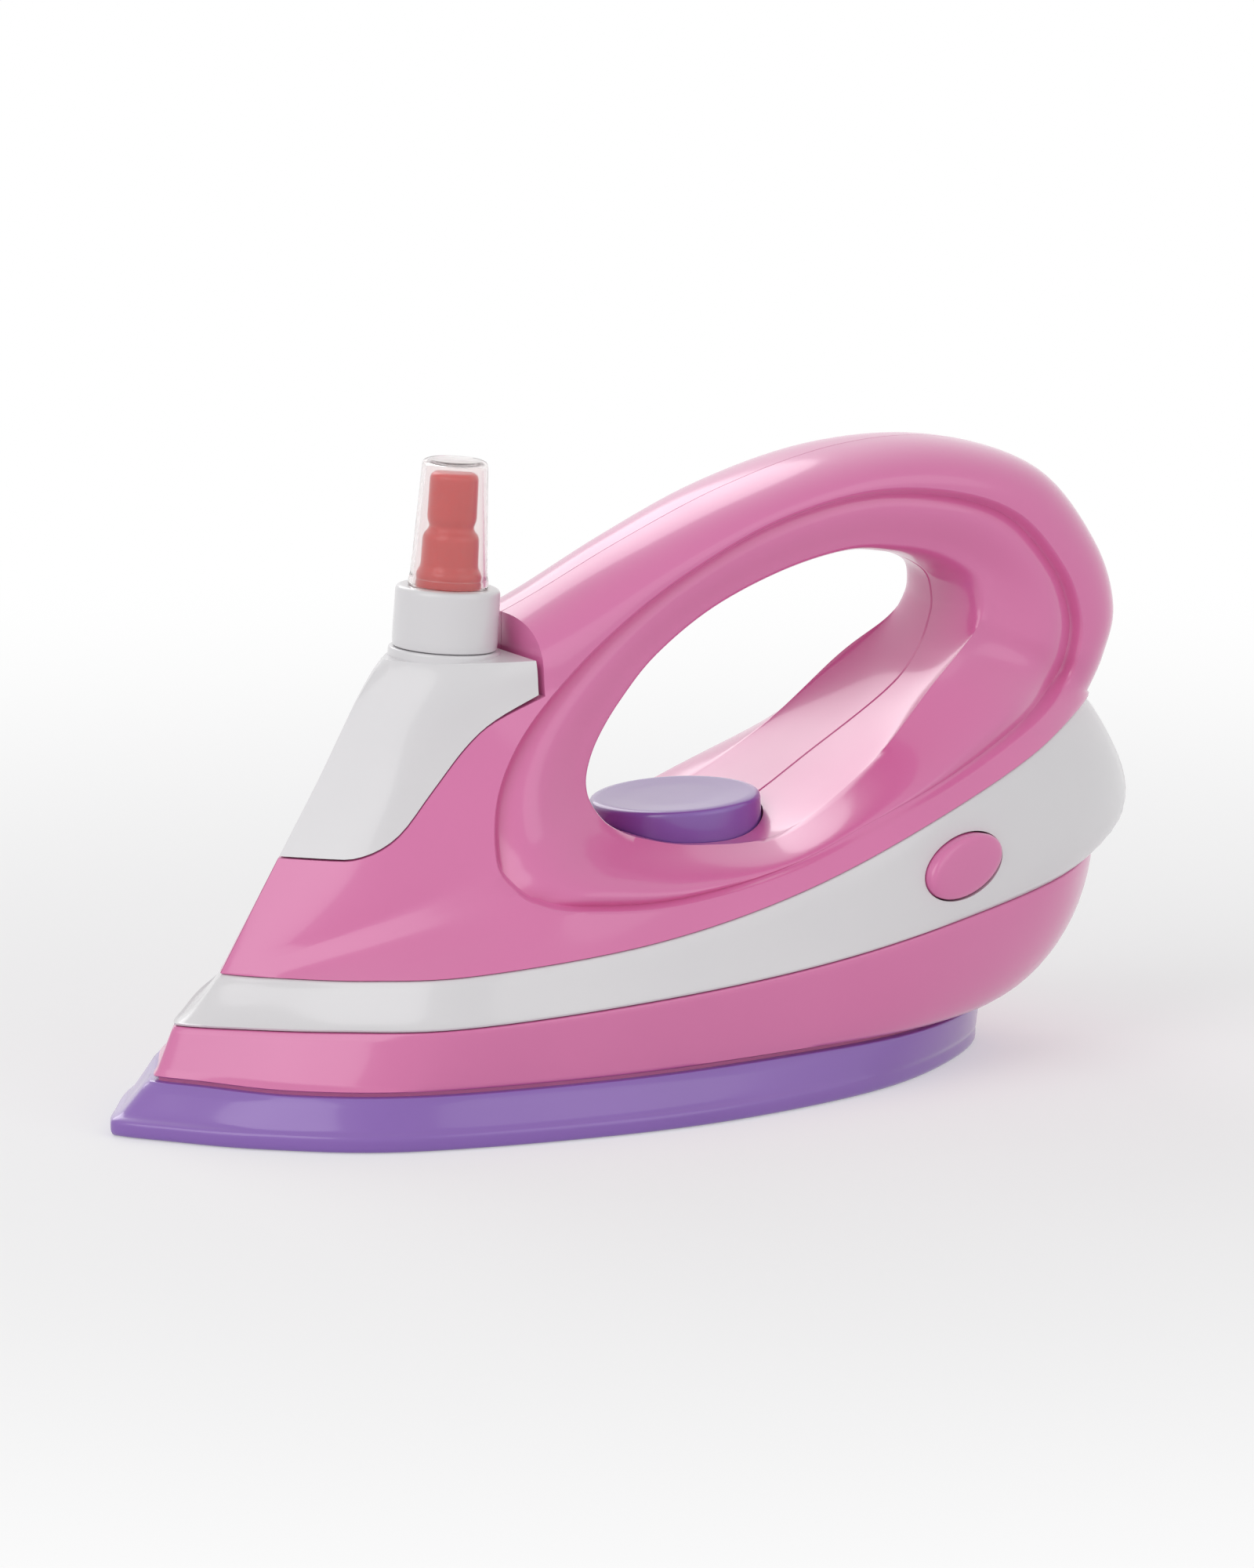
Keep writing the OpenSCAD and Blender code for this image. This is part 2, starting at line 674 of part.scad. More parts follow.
module trim_band() color(white) difference() {
    ringed(concat(
        [for (s = band_step_shares) band_row(s)],
        [for (s = band_inner_shares) grown(band_row(s), -band_wall)]
    ));
    for (side = [0, 1]) mirror([0, side, 0]) on_button()
        oval_prism(
            button_length + 2 * loose_fit, button_width + 2 * loose_fit, -button_set_back - overrun,
            button_set_back
        );
}

// Body halves

module body_half() {
    difference() {
        union() {
            body_side();
            for (s = post_shares)
                translate([nose_x + s[0] * sole_length, -s[1] * half_width, skirt_floor_z])
                    cylinder(d = post_d, h = s[2] * handle_height - skirt_floor_z);
        }
        translate([nose_x - overrun, -seam_gap / 2, -overrun])
            cube([overall_length + 2 * overrun, half_width, handle_height + 2 * overrun]);
        tank_block(tank_clearance, tank_rear_gap, handle_height + overrun);
        on_neck() translate([0, 0, -sump_depth - tank_clearance])
            cylinder(d = sump_d + 2 * tank_clearance, h = sump_depth + collar_height);
        on_dial() {
            cylinder(d = dial_d + 2 * loose_fit, h = dial_height + overrun);
            translate([0, 0, -deck_wall - overrun])
                cylinder(d = stem_d + 2 * running_fit, h = deck_wall + 2 * overrun);
            translate([0, 0, -2 * deck_wall - washer_d])
                cylinder(d = washer_d + 2 * loose_fit, h = washer_d + deck_wall);
        }
        for (s = post_shares)
            translate([nose_x + s[0] * sole_length, -s[1] * half_width, skirt_floor_z - overrun])
                cylinder(d = pilot_d, h = post_pilot_depth + overrun);
    }
}

module left_body_half() color(pink) difference() {
    body_half();
    at_body_screws() cylinder(d = pilot_d, h = body_screw_length + screw_edge);
}

module right_body_half() color(pink) difference() {
    mirror([0, 1, 0]) body_half();
    at_body_screws() {
        translate([0, 0, -half_width]) cylinder(d = sink_d, h = half_width);
        translate([0, 0, -overrun]) cylinder(d = clear_d, h = body_seat_y + 2 * overrun);
    }
}

// Tank

module water_tank() color(white) difference() {
    union() {
        for (side = [0, 1]) mirror([0, side, 0]) intersection() {
            body_side();
            tank_block(0, 0, shoulder_z);
        }
        on_neck() {
            translate([0, 0, -sump_depth]) cylinder(d = sump_d, h = sump_depth - 2 * seat_step);
            translate([0, 0, -2 * seat_step]) cylinder(d = collar_d + 2 * seat_margin, h = 2 * seat_step);
            cylinder(d = neck_d, h = neck_height);
        }
    }
    rotate([90, 0, 0]) linear_extrude(2 * chamber_half_share * half_width, center = true)
        polygon([for (s = chamber_shares) [nose_x + s[0] * overall_length, s[1] * handle_height]]);
    on_neck() {
        translate([0, 0, sump_floor_z]) {
            cylinder(d = sump_bore_d, h = -sump_floor_z - 3 * seat_step - tank_wall);
            cylinder(d = neck_d - 2 * tank_wall, h = -sump_floor_z + neck_height + overrun);
        }
    }
}

// Pump

module neck_gasket() color(natural) on_neck() translate([0, 0, gasket_z]) rotate_extrude()
    polygon([
        [barrel_d / 2 + loose_fit, 0],
        [neck_d / 2, 0],
        [neck_d / 2, gasket_height],
        [barrel_d / 2 + loose_fit, gasket_height]
    ]);

module pump_housing() color(natural) on_neck() rotate_extrude() polygon([
    [barrel_bore / 2, flange_z + flange_plate],
    [neck_d / 2, flange_z + flange_plate],
    [neck_d / 2, flange_z],
    [barrel_d / 2, flange_z],
    [barrel_d / 2, -barrel_length],
    [nipple_d / 2, -barrel_length],
    [nipple_d / 2, -barrel_length - nipple_length],
    [tube_d / 2 + screw_fit, -barrel_length - nipple_length],
    [tube_d / 2 + screw_fit, -barrel_length],
    [inlet_d / 2, -barrel_length],
    [inlet_d / 2, bore_floor_z],
    [barrel_bore / 2, bore_floor_z]
]);

module pump_collar() color(white) on_neck() rotate_extrude() polygon([
    [neck_d / 2 + thread_gap, seam_gap],
    [collar_d / 2, seam_gap],
    [collar_d / 2, collar_height - collar_edge],
    [collar_d / 2 - collar_edge, collar_height],
    [head_foot_d / 2 + loose_fit, collar_height],
    [head_foot_d / 2 + loose_fit, well_z],
    [rod_d / 2 + loose_fit, well_z],
    [rod_d / 2 + loose_fit, ledge_z],
    [neck_d / 2 + thread_gap, ledge_z]
]);

module pump_spring() color(steel) on_neck() coil(pump_path, pump_wire);

module check_ball() color(steel) on_neck()
    translate([0, 0, bore_floor_z + sqrt(ball_d * ball_d - inlet_d * inlet_d) / 2 + screw_fit])
        sphere(d = ball_d);

module dip_tube() color(natural) on_neck() translate([0, 0, sump_floor_z + tube_foot_gap])
    difference() {
        tube_length = -sump_floor_z - tube_foot_gap - barrel_length - screw_fit;
        cylinder(d = tube_d, h = tube_length);
        translate([0, 0, -overrun]) cylinder(d = tube_bore, h = tube_length + 2 * overrun);
    }

module pump_stem() color(natural) on_neck() rotate_extrude() polygon([
    [rod_bore / 2, piston_top_z - piston_height],
    [barrel_bore / 2 - running_fit, piston_top_z - piston_height],
    [barrel_bore / 2 - running_fit, piston_top_z],
    [rod_d / 2, piston_top_z],
    [rod_d / 2, foot_z + rod_socket],
    [rod_bore / 2, foot_z + rod_socket]
]);

module spray_actuator() color(red) on_neck() difference() {
    rotate_extrude() polygon([
        [rod_d / 2 + screw_fit, foot_z],
        [head_foot_d / 2, foot_z],
        [head_foot_d / 2, foot_z + foot_height],
        [head_shaft_d / 2, foot_z + foot_height + (head_foot_d - head_shaft_d) / 2],
        [head_shaft_d / 2, foot_z + waist_share * head_height - head_shaft_d + head_waist_d],
        [head_waist_d / 2, foot_z + waist_share * head_height],
        [head_d / 2, foot_z + waist_share * head_height + head_d - head_waist_d],
        [head_d / 2, foot_z + head_height - head_round],
        [head_d / 2 - head_round, foot_z + head_height],
        [0, foot_z + head_height],
        [0, foot_z + rod_socket + screw_fit],
        [rod_d / 2 + screw_fit, foot_z + rod_socket + screw_fit]
    ]);
    translate([screw_fit + nozzle_length - head_d / 2, 0, foot_z + nozzle_share * head_height])
        rotate([0, -90, 0]) cylinder(d = nozzle_d + 2 * screw_fit, h = nozzle_length + overrun);
}

module nozzle_insert() color(natural) on_neck()
    translate([nozzle_length - head_d / 2, 0, foot_z + nozzle_share * head_height]) rotate([0, -90, 0])
        difference() {
            cylinder(d = nozzle_d, h = nozzle_length);
            translate([0, 0, nozzle_length / 2]) cylinder(d = orifice_d, h = nozzle_length);
        }

module spray_cap() color(clear) on_neck() translate([0, 0, collar_height + seam_gap]) rotate_extrude()
    polygon([
        [cap_d / 2 - cap_wall, 0],
        [cap_d / 2, 0],
        [cap_top_d / 2, cap_height - cap_wall],
        [cap_top_d / 2 - cap_wall, cap_height],
        [0, cap_height],
        [0, cap_height - cap_wall],
        [cap_top_d / 2 - cap_wall, cap_height - cap_wall]
    ]);

// Dial

module dial_knob() color(purple) on_dial() rotate_extrude() polygon([
    [0, dial_height],
    [dial_d / 2 - dial_edge, dial_height],
    [dial_d / 2, dial_height - dial_edge],
    [dial_d / 2, loose_fit],
    [stem_d / 2, loose_fit],
    [stem_d / 2, stem_end_z],
    [dial_screw_d / 2 + screw_fit, stem_end_z],
    [dial_screw_d / 2 + screw_fit, stem_end_z + dial_screw_depth],
    [0, stem_end_z + dial_screw_depth]
]);

module dial_washer() color(steel) on_dial() translate([0, 0, stem_end_z - washer_height]) difference() {
    cylinder(d = washer_d, h = washer_height);
    translate([0, 0, -overrun]) cylinder(d = dial_screw_d + 2 * screw_fit, h = washer_height + 2 * overrun);
}

module dial_screw() color(steel) on_dial() translate([0, 0, stem_end_z - washer_height])
    screw(dial_screw_d, dial_screw_depth + washer_height - screw_edge, screw_head_d, screw_head_height);

// Buttons

module button() on_button() {
    stacked([
        oval(button_length + 2 * button_lip, button_width + 2 * button_lip, flange_back_z),
        oval(button_length + 2 * button_lip, button_width + 2 * button_lip, -button_set_back),
        oval(button_length, button_width, -button_set_back + overrun),
        oval(button_length, button_width, button_proud - button_edge),
        oval(button_length - 2 * button_edge, button_width - 2 * button_edge, button_proud)
    ]);
    translate([0, 0, flange_back_z - button_stem_length])
        cylinder(d = button_stem_d, h = button_stem_length + button_flange / 2);
}
module left_button() color(pink) button();
module right_button() color(pink) mirror([0, 1, 0]) button();

module button_spring() on_button() coil(button_path, button_wire);
module left_button_spring() color(steel) button_spring();
module right_button_spring() color(steel) mirror([0, 1, 0]) button_spring();

// Screws

module sole_screws() color(steel) for (p = sole_screw_spots) translate(p + [0, 0, sole_seat_z])
    screw(shank_d, sole_screw_length, screw_head_d, screw_head_height);

module post_screws() color(steel) for (p = post_spots) translate(p + [0, 0, sole_height])
    screw(shank_d, post_screw_length, screw_head_d, screw_head_height);

module body_screws() color(steel) at_body_screws()
    screw(shank_d, body_screw_length, screw_head_d, screw_head_height);

soleplate();
lower_skirt();
trim_band();
left_body_half();
right_body_half();
water_tank();
neck_gasket();
pump_housing();
pump_collar();
pump_spring();
check_ball();
dip_tube();
pump_stem();
spray_actuator();
nozzle_insert();
spray_cap();
dial_knob();
dial_washer();
dial_screw();
left_button();
right_button();
left_button_spring();
right_button_spring();
sole_screws();
post_screws();
body_screws();
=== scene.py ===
"""Looks of a toy iron: smooth moulded shells, a spray pump under a clear cap, a dial and side buttons.

The nose points to -X, the photographed side is -Y and the ironing face lies on z = 0. Sizes are in
millimetres and become metres where a shape is made an object. Lamps and camera are placed in metres.
"""

import logging
import math
from abc import ABC, abstractmethod
from collections.abc import Sequence
from dataclasses import dataclass
from enum import Enum
from functools import cached_property

import bmesh
import bpy
from mathutils import Matrix, Vector


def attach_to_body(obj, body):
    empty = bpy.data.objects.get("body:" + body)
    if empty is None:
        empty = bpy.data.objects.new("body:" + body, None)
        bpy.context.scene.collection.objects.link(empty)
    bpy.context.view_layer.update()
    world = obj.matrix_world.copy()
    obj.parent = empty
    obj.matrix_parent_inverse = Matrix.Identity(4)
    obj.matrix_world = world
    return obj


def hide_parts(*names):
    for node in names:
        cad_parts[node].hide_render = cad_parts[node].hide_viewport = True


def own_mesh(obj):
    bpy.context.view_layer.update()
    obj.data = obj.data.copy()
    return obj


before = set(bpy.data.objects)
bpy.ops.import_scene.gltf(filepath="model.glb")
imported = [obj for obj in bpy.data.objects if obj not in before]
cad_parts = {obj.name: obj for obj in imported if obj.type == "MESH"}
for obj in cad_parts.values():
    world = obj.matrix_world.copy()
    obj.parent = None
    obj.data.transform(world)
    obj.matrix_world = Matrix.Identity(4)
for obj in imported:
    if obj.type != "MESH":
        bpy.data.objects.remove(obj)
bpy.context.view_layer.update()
MM = 0.001
FINE_MERGE = 0.001
CUTTER_FACETS = 96
SINK_FACETS = 48

logging.basicConfig(level=logging.INFO, format="%(message)s")
log = logging.getLogger("toy_iron")

Shares = tuple[float, ...]
Table = tuple[Shares, ...]
Triple = tuple[float, float, float]
Row = list[Vector]
Socket = bpy.types.NodeSocket


class Side(Enum):
    """The two sides of the iron, by the sign of their y."""

    LEFT = -1
    RIGHT = 1

    @property
    def label(self) -> str:
        """The side as the names of pieces have it."""
        return self.name.lower()


class Cut(Enum):
    """What a cutter does to a piece."""

    REMOVE = "DIFFERENCE"
    KEEP = "INTERSECT"


class Crisp(Enum):
    """The angle in degrees past which an edge stays sharp, by the way a piece is made."""

    CUT = 32.0
    TURNED = 35.0
    BELT = 55.0
    COIL = 70.0


# Finishes


class NodeKit:
    """The nodes of a material or of the world, with the steps that the finishes share."""

    noise_span: Shares = (0.15, 0.85)
    grain_noise: Shares = (2200.0, 2.0)
    grain_depth: float = 0.0002

    def __init__(self, owner: bpy.types.Material | bpy.types.World) -> None:
        """Turns on the nodes of a material or of the world.

        Args:
            owner: The material or the world.
        """
        owner.use_nodes = True
        self.nodes = owner.node_tree.nodes
        self.links = owner.node_tree.links

    @cached_property
    def place(self) -> Socket:
        """Object coordinates, in metres."""
        return self.nodes.new("ShaderNodeTexCoord").outputs["Object"]

    def fill(self, node: bpy.types.Node, fixed: dict, fed: dict) -> None:
        """Gives a node's sockets what they take.

        Args:
            node: The node.
            fixed: Numbers and colours by socket.
            fed: Sockets of other nodes by socket.
        """
        for socket, value in fixed.items():
            node.inputs[socket].default_value = value
        for socket, source in fed.items():
            self.links.new(source, node.inputs[socket])

    def add(self, kind: str, fixed: dict | None = None, fed: dict | None = None) -> bpy.types.Node:
        """Adds a node.

        Args:
            kind: The node's type.
            fixed: Numbers and colours by socket.
            fed: Sockets of other nodes by socket.

        Returns:
            The node.
        """
        node = self.nodes.new(kind)
        self.fill(node, fixed or {}, fed or {})
        return node

    def noise(self, scale: float, detail: float) -> Socket:
        """Adds a noise with so many cycles to the metre and so many octaves."""
        fixed = {"Scale": scale, "Detail": detail}
        return self.add("ShaderNodeTexNoise", fixed, {"Vector": self.place}).outputs["Fac"]

    def remap(self, value: Socket, span: Shares, low: float, high: float) -> Socket:
        """Stretches a value smoothly over a range.

        Args:
            value: The value.
            span: Where the value starts and stops to count.
            low: Result at the start of the span.
            high: Result at its end.

        Returns:
            The stretched value.
        """
        fixed = {"From Min": span[0], "From Max": span[1], "To Min": low, "To Max": high}
        node = self.add("ShaderNodeMapRange", fixed, {"Value": value})
        node.interpolation_type = "SMOOTHSTEP"
        return node.outputs["Result"]

    def tint(
        self, value: Socket, low: Triple, high: Triple, span: Shares = (0.0, 1.0), blend: str = "LINEAR"
    ) -> Socket:
        """Turns a value into a colour.

        Args:
            value: The value.
            low: Colour where the value is low.
            high: Colour where it is high.
            span: Values at which the two colours are reached.
            blend: How one goes over into the other.

        Returns:
            The colour.
        """
        node = self.add("ShaderNodeValToRGB", fed={"Fac": value})
        node.color_ramp.interpolation = blend
        for stop, position, colour in zip(node.color_ramp.elements, span, (low, high)):
            stop.position = position
            stop.color = (*colour, 1.0)
        return node.outputs["Color"]

    def grain(self, strength: float) -> Socket:
        """Adds a fine grain as a bump.

        Args:
            strength: Strength of the bump.

        Returns:
            The bumped normal.
        """
        fixed = {"Strength": strength, "Distance": self.grain_depth}
        fed = {"Height": self.noise(*self.grain_noise)}
        return self.add("ShaderNodeBump", fixed, fed).outputs["Normal"]

    def joined(self, operation: str, a: Socket, b: Socket) -> Socket:
        """Joins two values by a sum of the given kind.

        Args:
            operation: The kind of sum.
            a: One value.
            b: The other value.

        Returns:
            The result.
        """
        node = self.add("ShaderNodeMath", fed={0: a, 1: b})
        node.operation = operation
        return node.outputs[0]

    def seen_rays(self) -> Socket:
        """Adds a value that is 1 for what the camera, gloss and clear plastic see.

        Returns:
            The value.
        """
        path = self.add("ShaderNodeLightPath").outputs
        seen = path["Is Camera Ray"]
        for ray in ("Is Glossy Ray", "Is Transmission Ray"):
            seen = self.joined("MAXIMUM", seen, path[ray])
        return seen

    def show(self, share: Socket, plain: Socket, seen: Socket, output: str) -> None:
        """Shows a blend of two shaders.

        Args:
            share: Share of the second shader.
            plain: The first shader.
            seen: The second shader.
            output: Name of the output node.
        """
        blend = self.add("ShaderNodeMixShader", fed={0: share, 1: plain, 2: seen})
        self.links.new(blend.outputs[0], self.nodes[output].inputs["Surface"])


@dataclass(frozen=True)
class Finish(ABC):
    """What every finish has: its names, its colour and its roughness."""

    name: str
    slot: str
    colour: Triple
    roughness: float

    def material(self) -> bpy.types.Material:
        """Builds the finish once and hands out the same material after that.

        Returns:
            The finish as a node material on Object coordinates.
        """
        known = bpy.data.materials.get(self.name)
        if known:
            return known
        material = bpy.data.materials.new(self.name)
        kit = NodeKit(material)
        kit.fill(kit.nodes["Principled BSDF"], self.fixed(), self.fed(kit))
        return material

    def fixed(self) -> dict:
        """Values of the shader that are the same all over, by socket."""
        return {"Base Color": (*self.colour, 1.0)}

    @abstractmethod
    def fed(self, kit: NodeKit) -> dict:
        """Values of the shader that a texture gives, by socket."""

    def gloss(self, kit: NodeKit, marks: Shares, spread: Shares) -> Socket:
        """Roughness that a noise of the given scale and detail varies by the spread."""
        low, high = (self.roughness + by for by in spread)
        return kit.remap(kit.noise(*marks), kit.noise_span, low, high)


@dataclass(frozen=True)
class MouldedPlastic(Finish):
    """A glossy injection-moulded plastic with faint flow marks and a fine moulded grain."""

    flow_colour: Triple
    coat: float
    coat_roughness: float = 0.12
    grain: float = 0.01
    flow_marks: Shares = (24.0, 2.0)
    flow_span: Shares = (0.2, 0.8)
    handling_marks: Shares = (60.0, 3.0)
    handling_spread: Shares = (-0.03, 0.05)

    def fixed(self) -> dict:
        """The coat's values."""
        return {"Coat Weight": self.coat, "Coat Roughness": self.coat_roughness}

    def fed(self, kit: NodeKit) -> dict:
        """Flow marks in the colour, handling marks in the gloss and the grain.

        Args:
            kit: Nodes of the finish.

        Returns:
            The textures by socket.
        """
        flow = kit.noise(*self.flow_marks)
        return {
            "Base Color": kit.tint(flow, self.flow_colour, self.colour, self.flow_span, "EASE"),
            "Roughness": self.gloss(kit, self.handling_marks, self.handling_spread),
            "Normal": kit.grain(self.grain),
        }


@dataclass(frozen=True)
class ClearPlastic(Finish):
    """A clear cap moulding, a little cloudy."""

    transmission: float = 0.95
    refraction: float = 1.25
    cloud_marks: Shares = (160.0, 3.0)
    cloud_spread: Shares = (0.0, 0.08)

    def fixed(self) -> dict:
        """The colour and how light goes through."""
        return {**super().fixed(), "Transmission Weight": self.transmission, "IOR": self.refraction}

    def fed(self, kit: NodeKit) -> dict:
        """Faint clouds in the gloss."""
        return {"Roughness": self.gloss(kit, self.cloud_marks, self.cloud_spread)}


@dataclass(frozen=True)
class PlainMetal(Finish):
    """Plated or drawn steel with a fine grain and a few dull spots."""

    grain: float = 0.06
    spot_marks: Shares = (700.0, 4.0)
    spot_spread: Shares = (-0.08, 0.15)

    def fixed(self) -> dict:
        """The colour of a bare metal."""
        return {**super().fixed(), "Metallic": 1.0}

    def fed(self, kit: NodeKit) -> dict:
        """Dull spots in the gloss and the grain."""
        gloss = self.gloss(kit, self.spot_marks, self.spot_spread)
        return {"Roughness": gloss, "Normal": kit.grain(self.grain)}


PINK = MouldedPlastic("pink_shell", "pink_plastic", (0.78, 0.19, 0.44), 0.34, (0.74, 0.175, 0.415), 0.8)
WHITE = MouldedPlastic("white_shell", "white_plastic", (0.8, 0.785, 0.8), 0.34, (0.77, 0.755, 0.775), 0.6)
PURPLE = MouldedPlastic(
    "purple_sole", "purple_plastic", (0.27, 0.12, 0.5), 0.34, (0.245, 0.105, 0.465), 0.8
)
RED = MouldedPlastic("red_pump_head", "red_plastic", (0.66, 0.022, 0.018), 0.34, (0.6, 0.02, 0.016), 0.5)
NATURAL = MouldedPlastic(
    "natural_pump_parts", "natural_plastic", (0.78, 0.76, 0.7), 0.42, (0.72, 0.7, 0.64), 0.1
)
SEAL = MouldedPlastic("soft_seal", "seal_rubber", (0.52, 0.5, 0.46), 0.6, (0.47, 0.45, 0.41), 0.0, 0.3, 0.1)
CLEAR = ClearPlastic("clear_cap", "clear_plastic", (0.98, 0.93, 0.93), 0.06)
SPRING = PlainMetal("spring_wire", "spring_steel", (0.62, 0.63, 0.65), 0.28)
ZINC = PlainMetal("zinc_screws", "screw_steel", (0.66, 0.67, 0.69), 0.34)


# Curves and meshes


def mix(a: float | Vector, b: float | Vector, s: float) -> float | Vector:
    """Goes from a to b by the share s."""
    return a + (b - a) * s


def mix_axes(a: Vector, b: Vector, x: float, y: float, z: float) -> Vector:
    """Goes from a to b by a share of its own on each axis."""
    return Vector((mix(a.x, b.x, x), mix(a.y, b.y, y), mix(a.z, b.z, z)))


def spline(a: Vector, b: Vector, c: Vector, d: Vector, s: float) -> Vector:
    """Draws the smooth curve through four points.

    Args:
        a: The point before the stretch.
        b: Start of the stretch.
        c: End of the stretch.
        d: The point after it.
        s: Share of the way from b to c.

    Returns:
        The point at that share.
    """
    return (
        b
        + (c - a) * (s / 2)
        + (a * 2 - b * 5 + c * 4 - d) * (s * s / 2)
        + (b * 3 - a - c * 3 + d) * (s * s * s / 2)
    )


def round_about(keys: Sequence, u: float) -> tuple:
    """The four keys of a closed curve round the place u, and the share between the middle two."""
    i = math.floor(u)
    return *(keys[(i + k) % len(keys)] for k in (-1, 0, 1, 2)), u - i


def closed_at(keys: Sequence, u: float) -> Vector | float:
    """A point at the place u on the closed curve through the keys."""
    return spline(*round_about(keys, u))


def open_at(keys: Sequence, u: float) -> Vector | float:
    """Draws the open curve through the keys.

    Args:
        keys: The keys.
        u: Place along the curve, counted in keys.

    Returns:
        The point at that place.
    """
    last = len(keys) - 1
    i = min(math.floor(u), last - 1)
    return spline(keys[max(i - 1, 0)], keys[i], keys[i + 1], keys[min(i + 2, last)], u - i)


def closed_curve(keys: Sequence, per_key: int) -> list:
    """Points of a closed curve, a number of them to each key."""
    return [closed_at(keys, i / per_key) for i in range(len(keys) * per_key)]


def both_sides(keys: Sequence[Vector]) -> list[Vector]:
    """Closes a belt line by its mirror image, left side first."""
    return [Vector((k.x, -k.y, k.z)) for k in keys] + [k.copy() for k in keys[-2:0:-1]]


def there_and_back(values: Shares) -> list[float]:
    """Values of a belt line's keys all round, from those of one side."""
    return [*values, *values[-2:0:-1]]


def flat_normal(loop: Row, i: int) -> Vector:
    """The level direction out of a belt line at one of its points."""
    d = loop[(i + 1) % len(loop)] - loop[i - 1]
    return Vector((d.y, -d.x, 0)).normalized()


def grown(loop: Row, by: float, lift: float = 0.0) -> Row:
    """A belt line let out by a width and lifted."""
    up = Vector((0, 0, lift))
    return [p + flat_normal(loop, i) * by + up for i, p in enumerate(loop)]


def eased(profile: Sequence[Triple], steps: int) -> list[tuple[float, float]]:
    """Rounds the corners of a turned profile.

    Args:
        profile: Points as radius, height and corner size.
        steps: Points to a rounded corner.

    Returns:
        The profile as radius and height.
    """
    points: list[tuple[float, float]] = []
    for i, (r, z, size) in enumerate(profile):
        here = Vector((r, z))
        if not size or i in (0, len(profile) - 1):
            points.append((r, z))
            continue
        before = Vector(profile[i - 1][:2]) - here
        after = Vector(profile[i + 1][:2]) - here
        start = here + before.normalized() * size
        end = here + after.normalized() * size
        for k in range(steps + 1):
            s = k / steps
            p = mix(mix(start, here, s), mix(here, end, s), s)
            points.append((p.x, p.y))
    return points


def settle(bm: bmesh.types.BMesh, place: Matrix | None, merge: float) -> bmesh.types.BMesh:
    """Merges doubles, puts a shape in its frame and turns its faces outwards.

    Args:
        bm: The shape.
        place: Frame that the shape stands in, or None where it is drawn in place.
        merge: Distance under which points are merged.

    Returns:
        The shape.
    """
    bmesh.ops.remove_doubles(bm, verts=bm.verts, dist=merge)
    if place is not None:
        bmesh.ops.transform(bm, matrix=place, verts=bm.verts)
    bmesh.ops.recalc_face_normals(bm, faces=bm.faces)
    return bm


def loft(
    rows: Sequence[Row], close: bool = False, place: Matrix | None = None, merge: float = 0.01
) -> bmesh.types.BMesh:
    """Draws the first row as a ring and extrudes it from row to row.

    Args:
        rows: Rows of equal count.
        close: Whether the last row is bridged back to the first, and not filled as the first is.
        place: Frame that the shape stands in, or None where it is drawn in place.
        merge: Distance under which points are merged.

    Returns:
        The closed shape.
    """
    bm = bmesh.new()
    ring = [bm.verts.new(p) for p in rows[0]]
    first = edges = [bm.edges.new((v, ring[(i + 1) % len(ring)])) for i, v in enumerate(ring)]
    for row in rows[1:]:
        made = bmesh.ops.extrude_edge_only(bm, edges=edges)["geom"]
        fresh = {g for g in made if isinstance(g, bmesh.types.BMVert)}
        ring = [next(o for e in v.link_edges if (o := e.other_vert(v)) in fresh) for v in ring]
        for v, p in zip(ring, row):
            v.co = p
        edges = [bm.edges.get((v, ring[(i + 1) % len(ring)])) for i, v in enumerate(ring)]
    if close:
        bmesh.ops.bridge_loops(bm, edges=first + edges)
    else:
        bmesh.ops.holes_fill(bm, edges=first, sides=0)
        bmesh.ops.holes_fill(bm, edges=edges, sides=0)
    return settle(bm, place, merge)


def turned(
    profile: Sequence[Triple], place: Matrix, facets: int = 128, corner_steps: int = 6
) -> bmesh.types.BMesh:
    """Spins a profile round the z axis of a frame.

    Args:
        profile: Radius, height and corner size, from one end on the axis to the other, or closed by its own
            first point.
        place: The frame.
        facets: Facets round the axis.
        corner_steps: Points to a rounded corner.

    Returns:
        The closed shape.
    """
    bm = bmesh.new()
    verts = [bm.verts.new((r, 0, z)) for r, z in eased(profile, corner_steps)]
    edges = [bm.edges.new(pair) for pair in zip(verts, verts[1:])]
    bmesh.ops.spin(
        bm, geom=verts + edges, cent=(0, 0, 0), axis=(0, 0, 1), angle=math.tau, steps=facets, use_merge=True
    )
    return settle(bm, place, FINE_MERGE)


def drums(d: float, low: float, high: float, places: Sequence[Matrix], facets: int) -> bmesh.types.BMesh:
    """Makes a cutter of closed round drums.

    Args:
        d: Their diameter.
        low: Height of their lower ends.
        high: Height of their upper ends.
        places: Frames that they stand in.
        facets: Facets round each.

    Returns:
        The cutter.
    """
    bm = bmesh.new()
    middle = Matrix.Translation((0, 0, (low + high) / 2))
    for place in places:
        bmesh.ops.create_cone(
            bm, cap_ends=True, segments=facets, radius1=d / 2, radius2=d / 2, depth=high - low,
            matrix=place @ middle,
        )
    return bm


def to_object(bm: bmesh.types.BMesh, name: str) -> bpy.types.Object:
    """Makes an object in metres of a shape in millimetres.

    Args:
        bm: The shape, which is freed.
        name: The object's name.

    Returns:
        The object, at the origin.
    """
    bmesh.ops.scale(bm, vec=(MM, MM, MM), verts=bm.verts)
    mesh = bpy.data.meshes.new(name)
    bm.to_mesh(mesh)
    bm.free()
    piece = bpy.data.objects.new(name, mesh)
    bpy.context.scene.collection.objects.link(piece)
    return piece


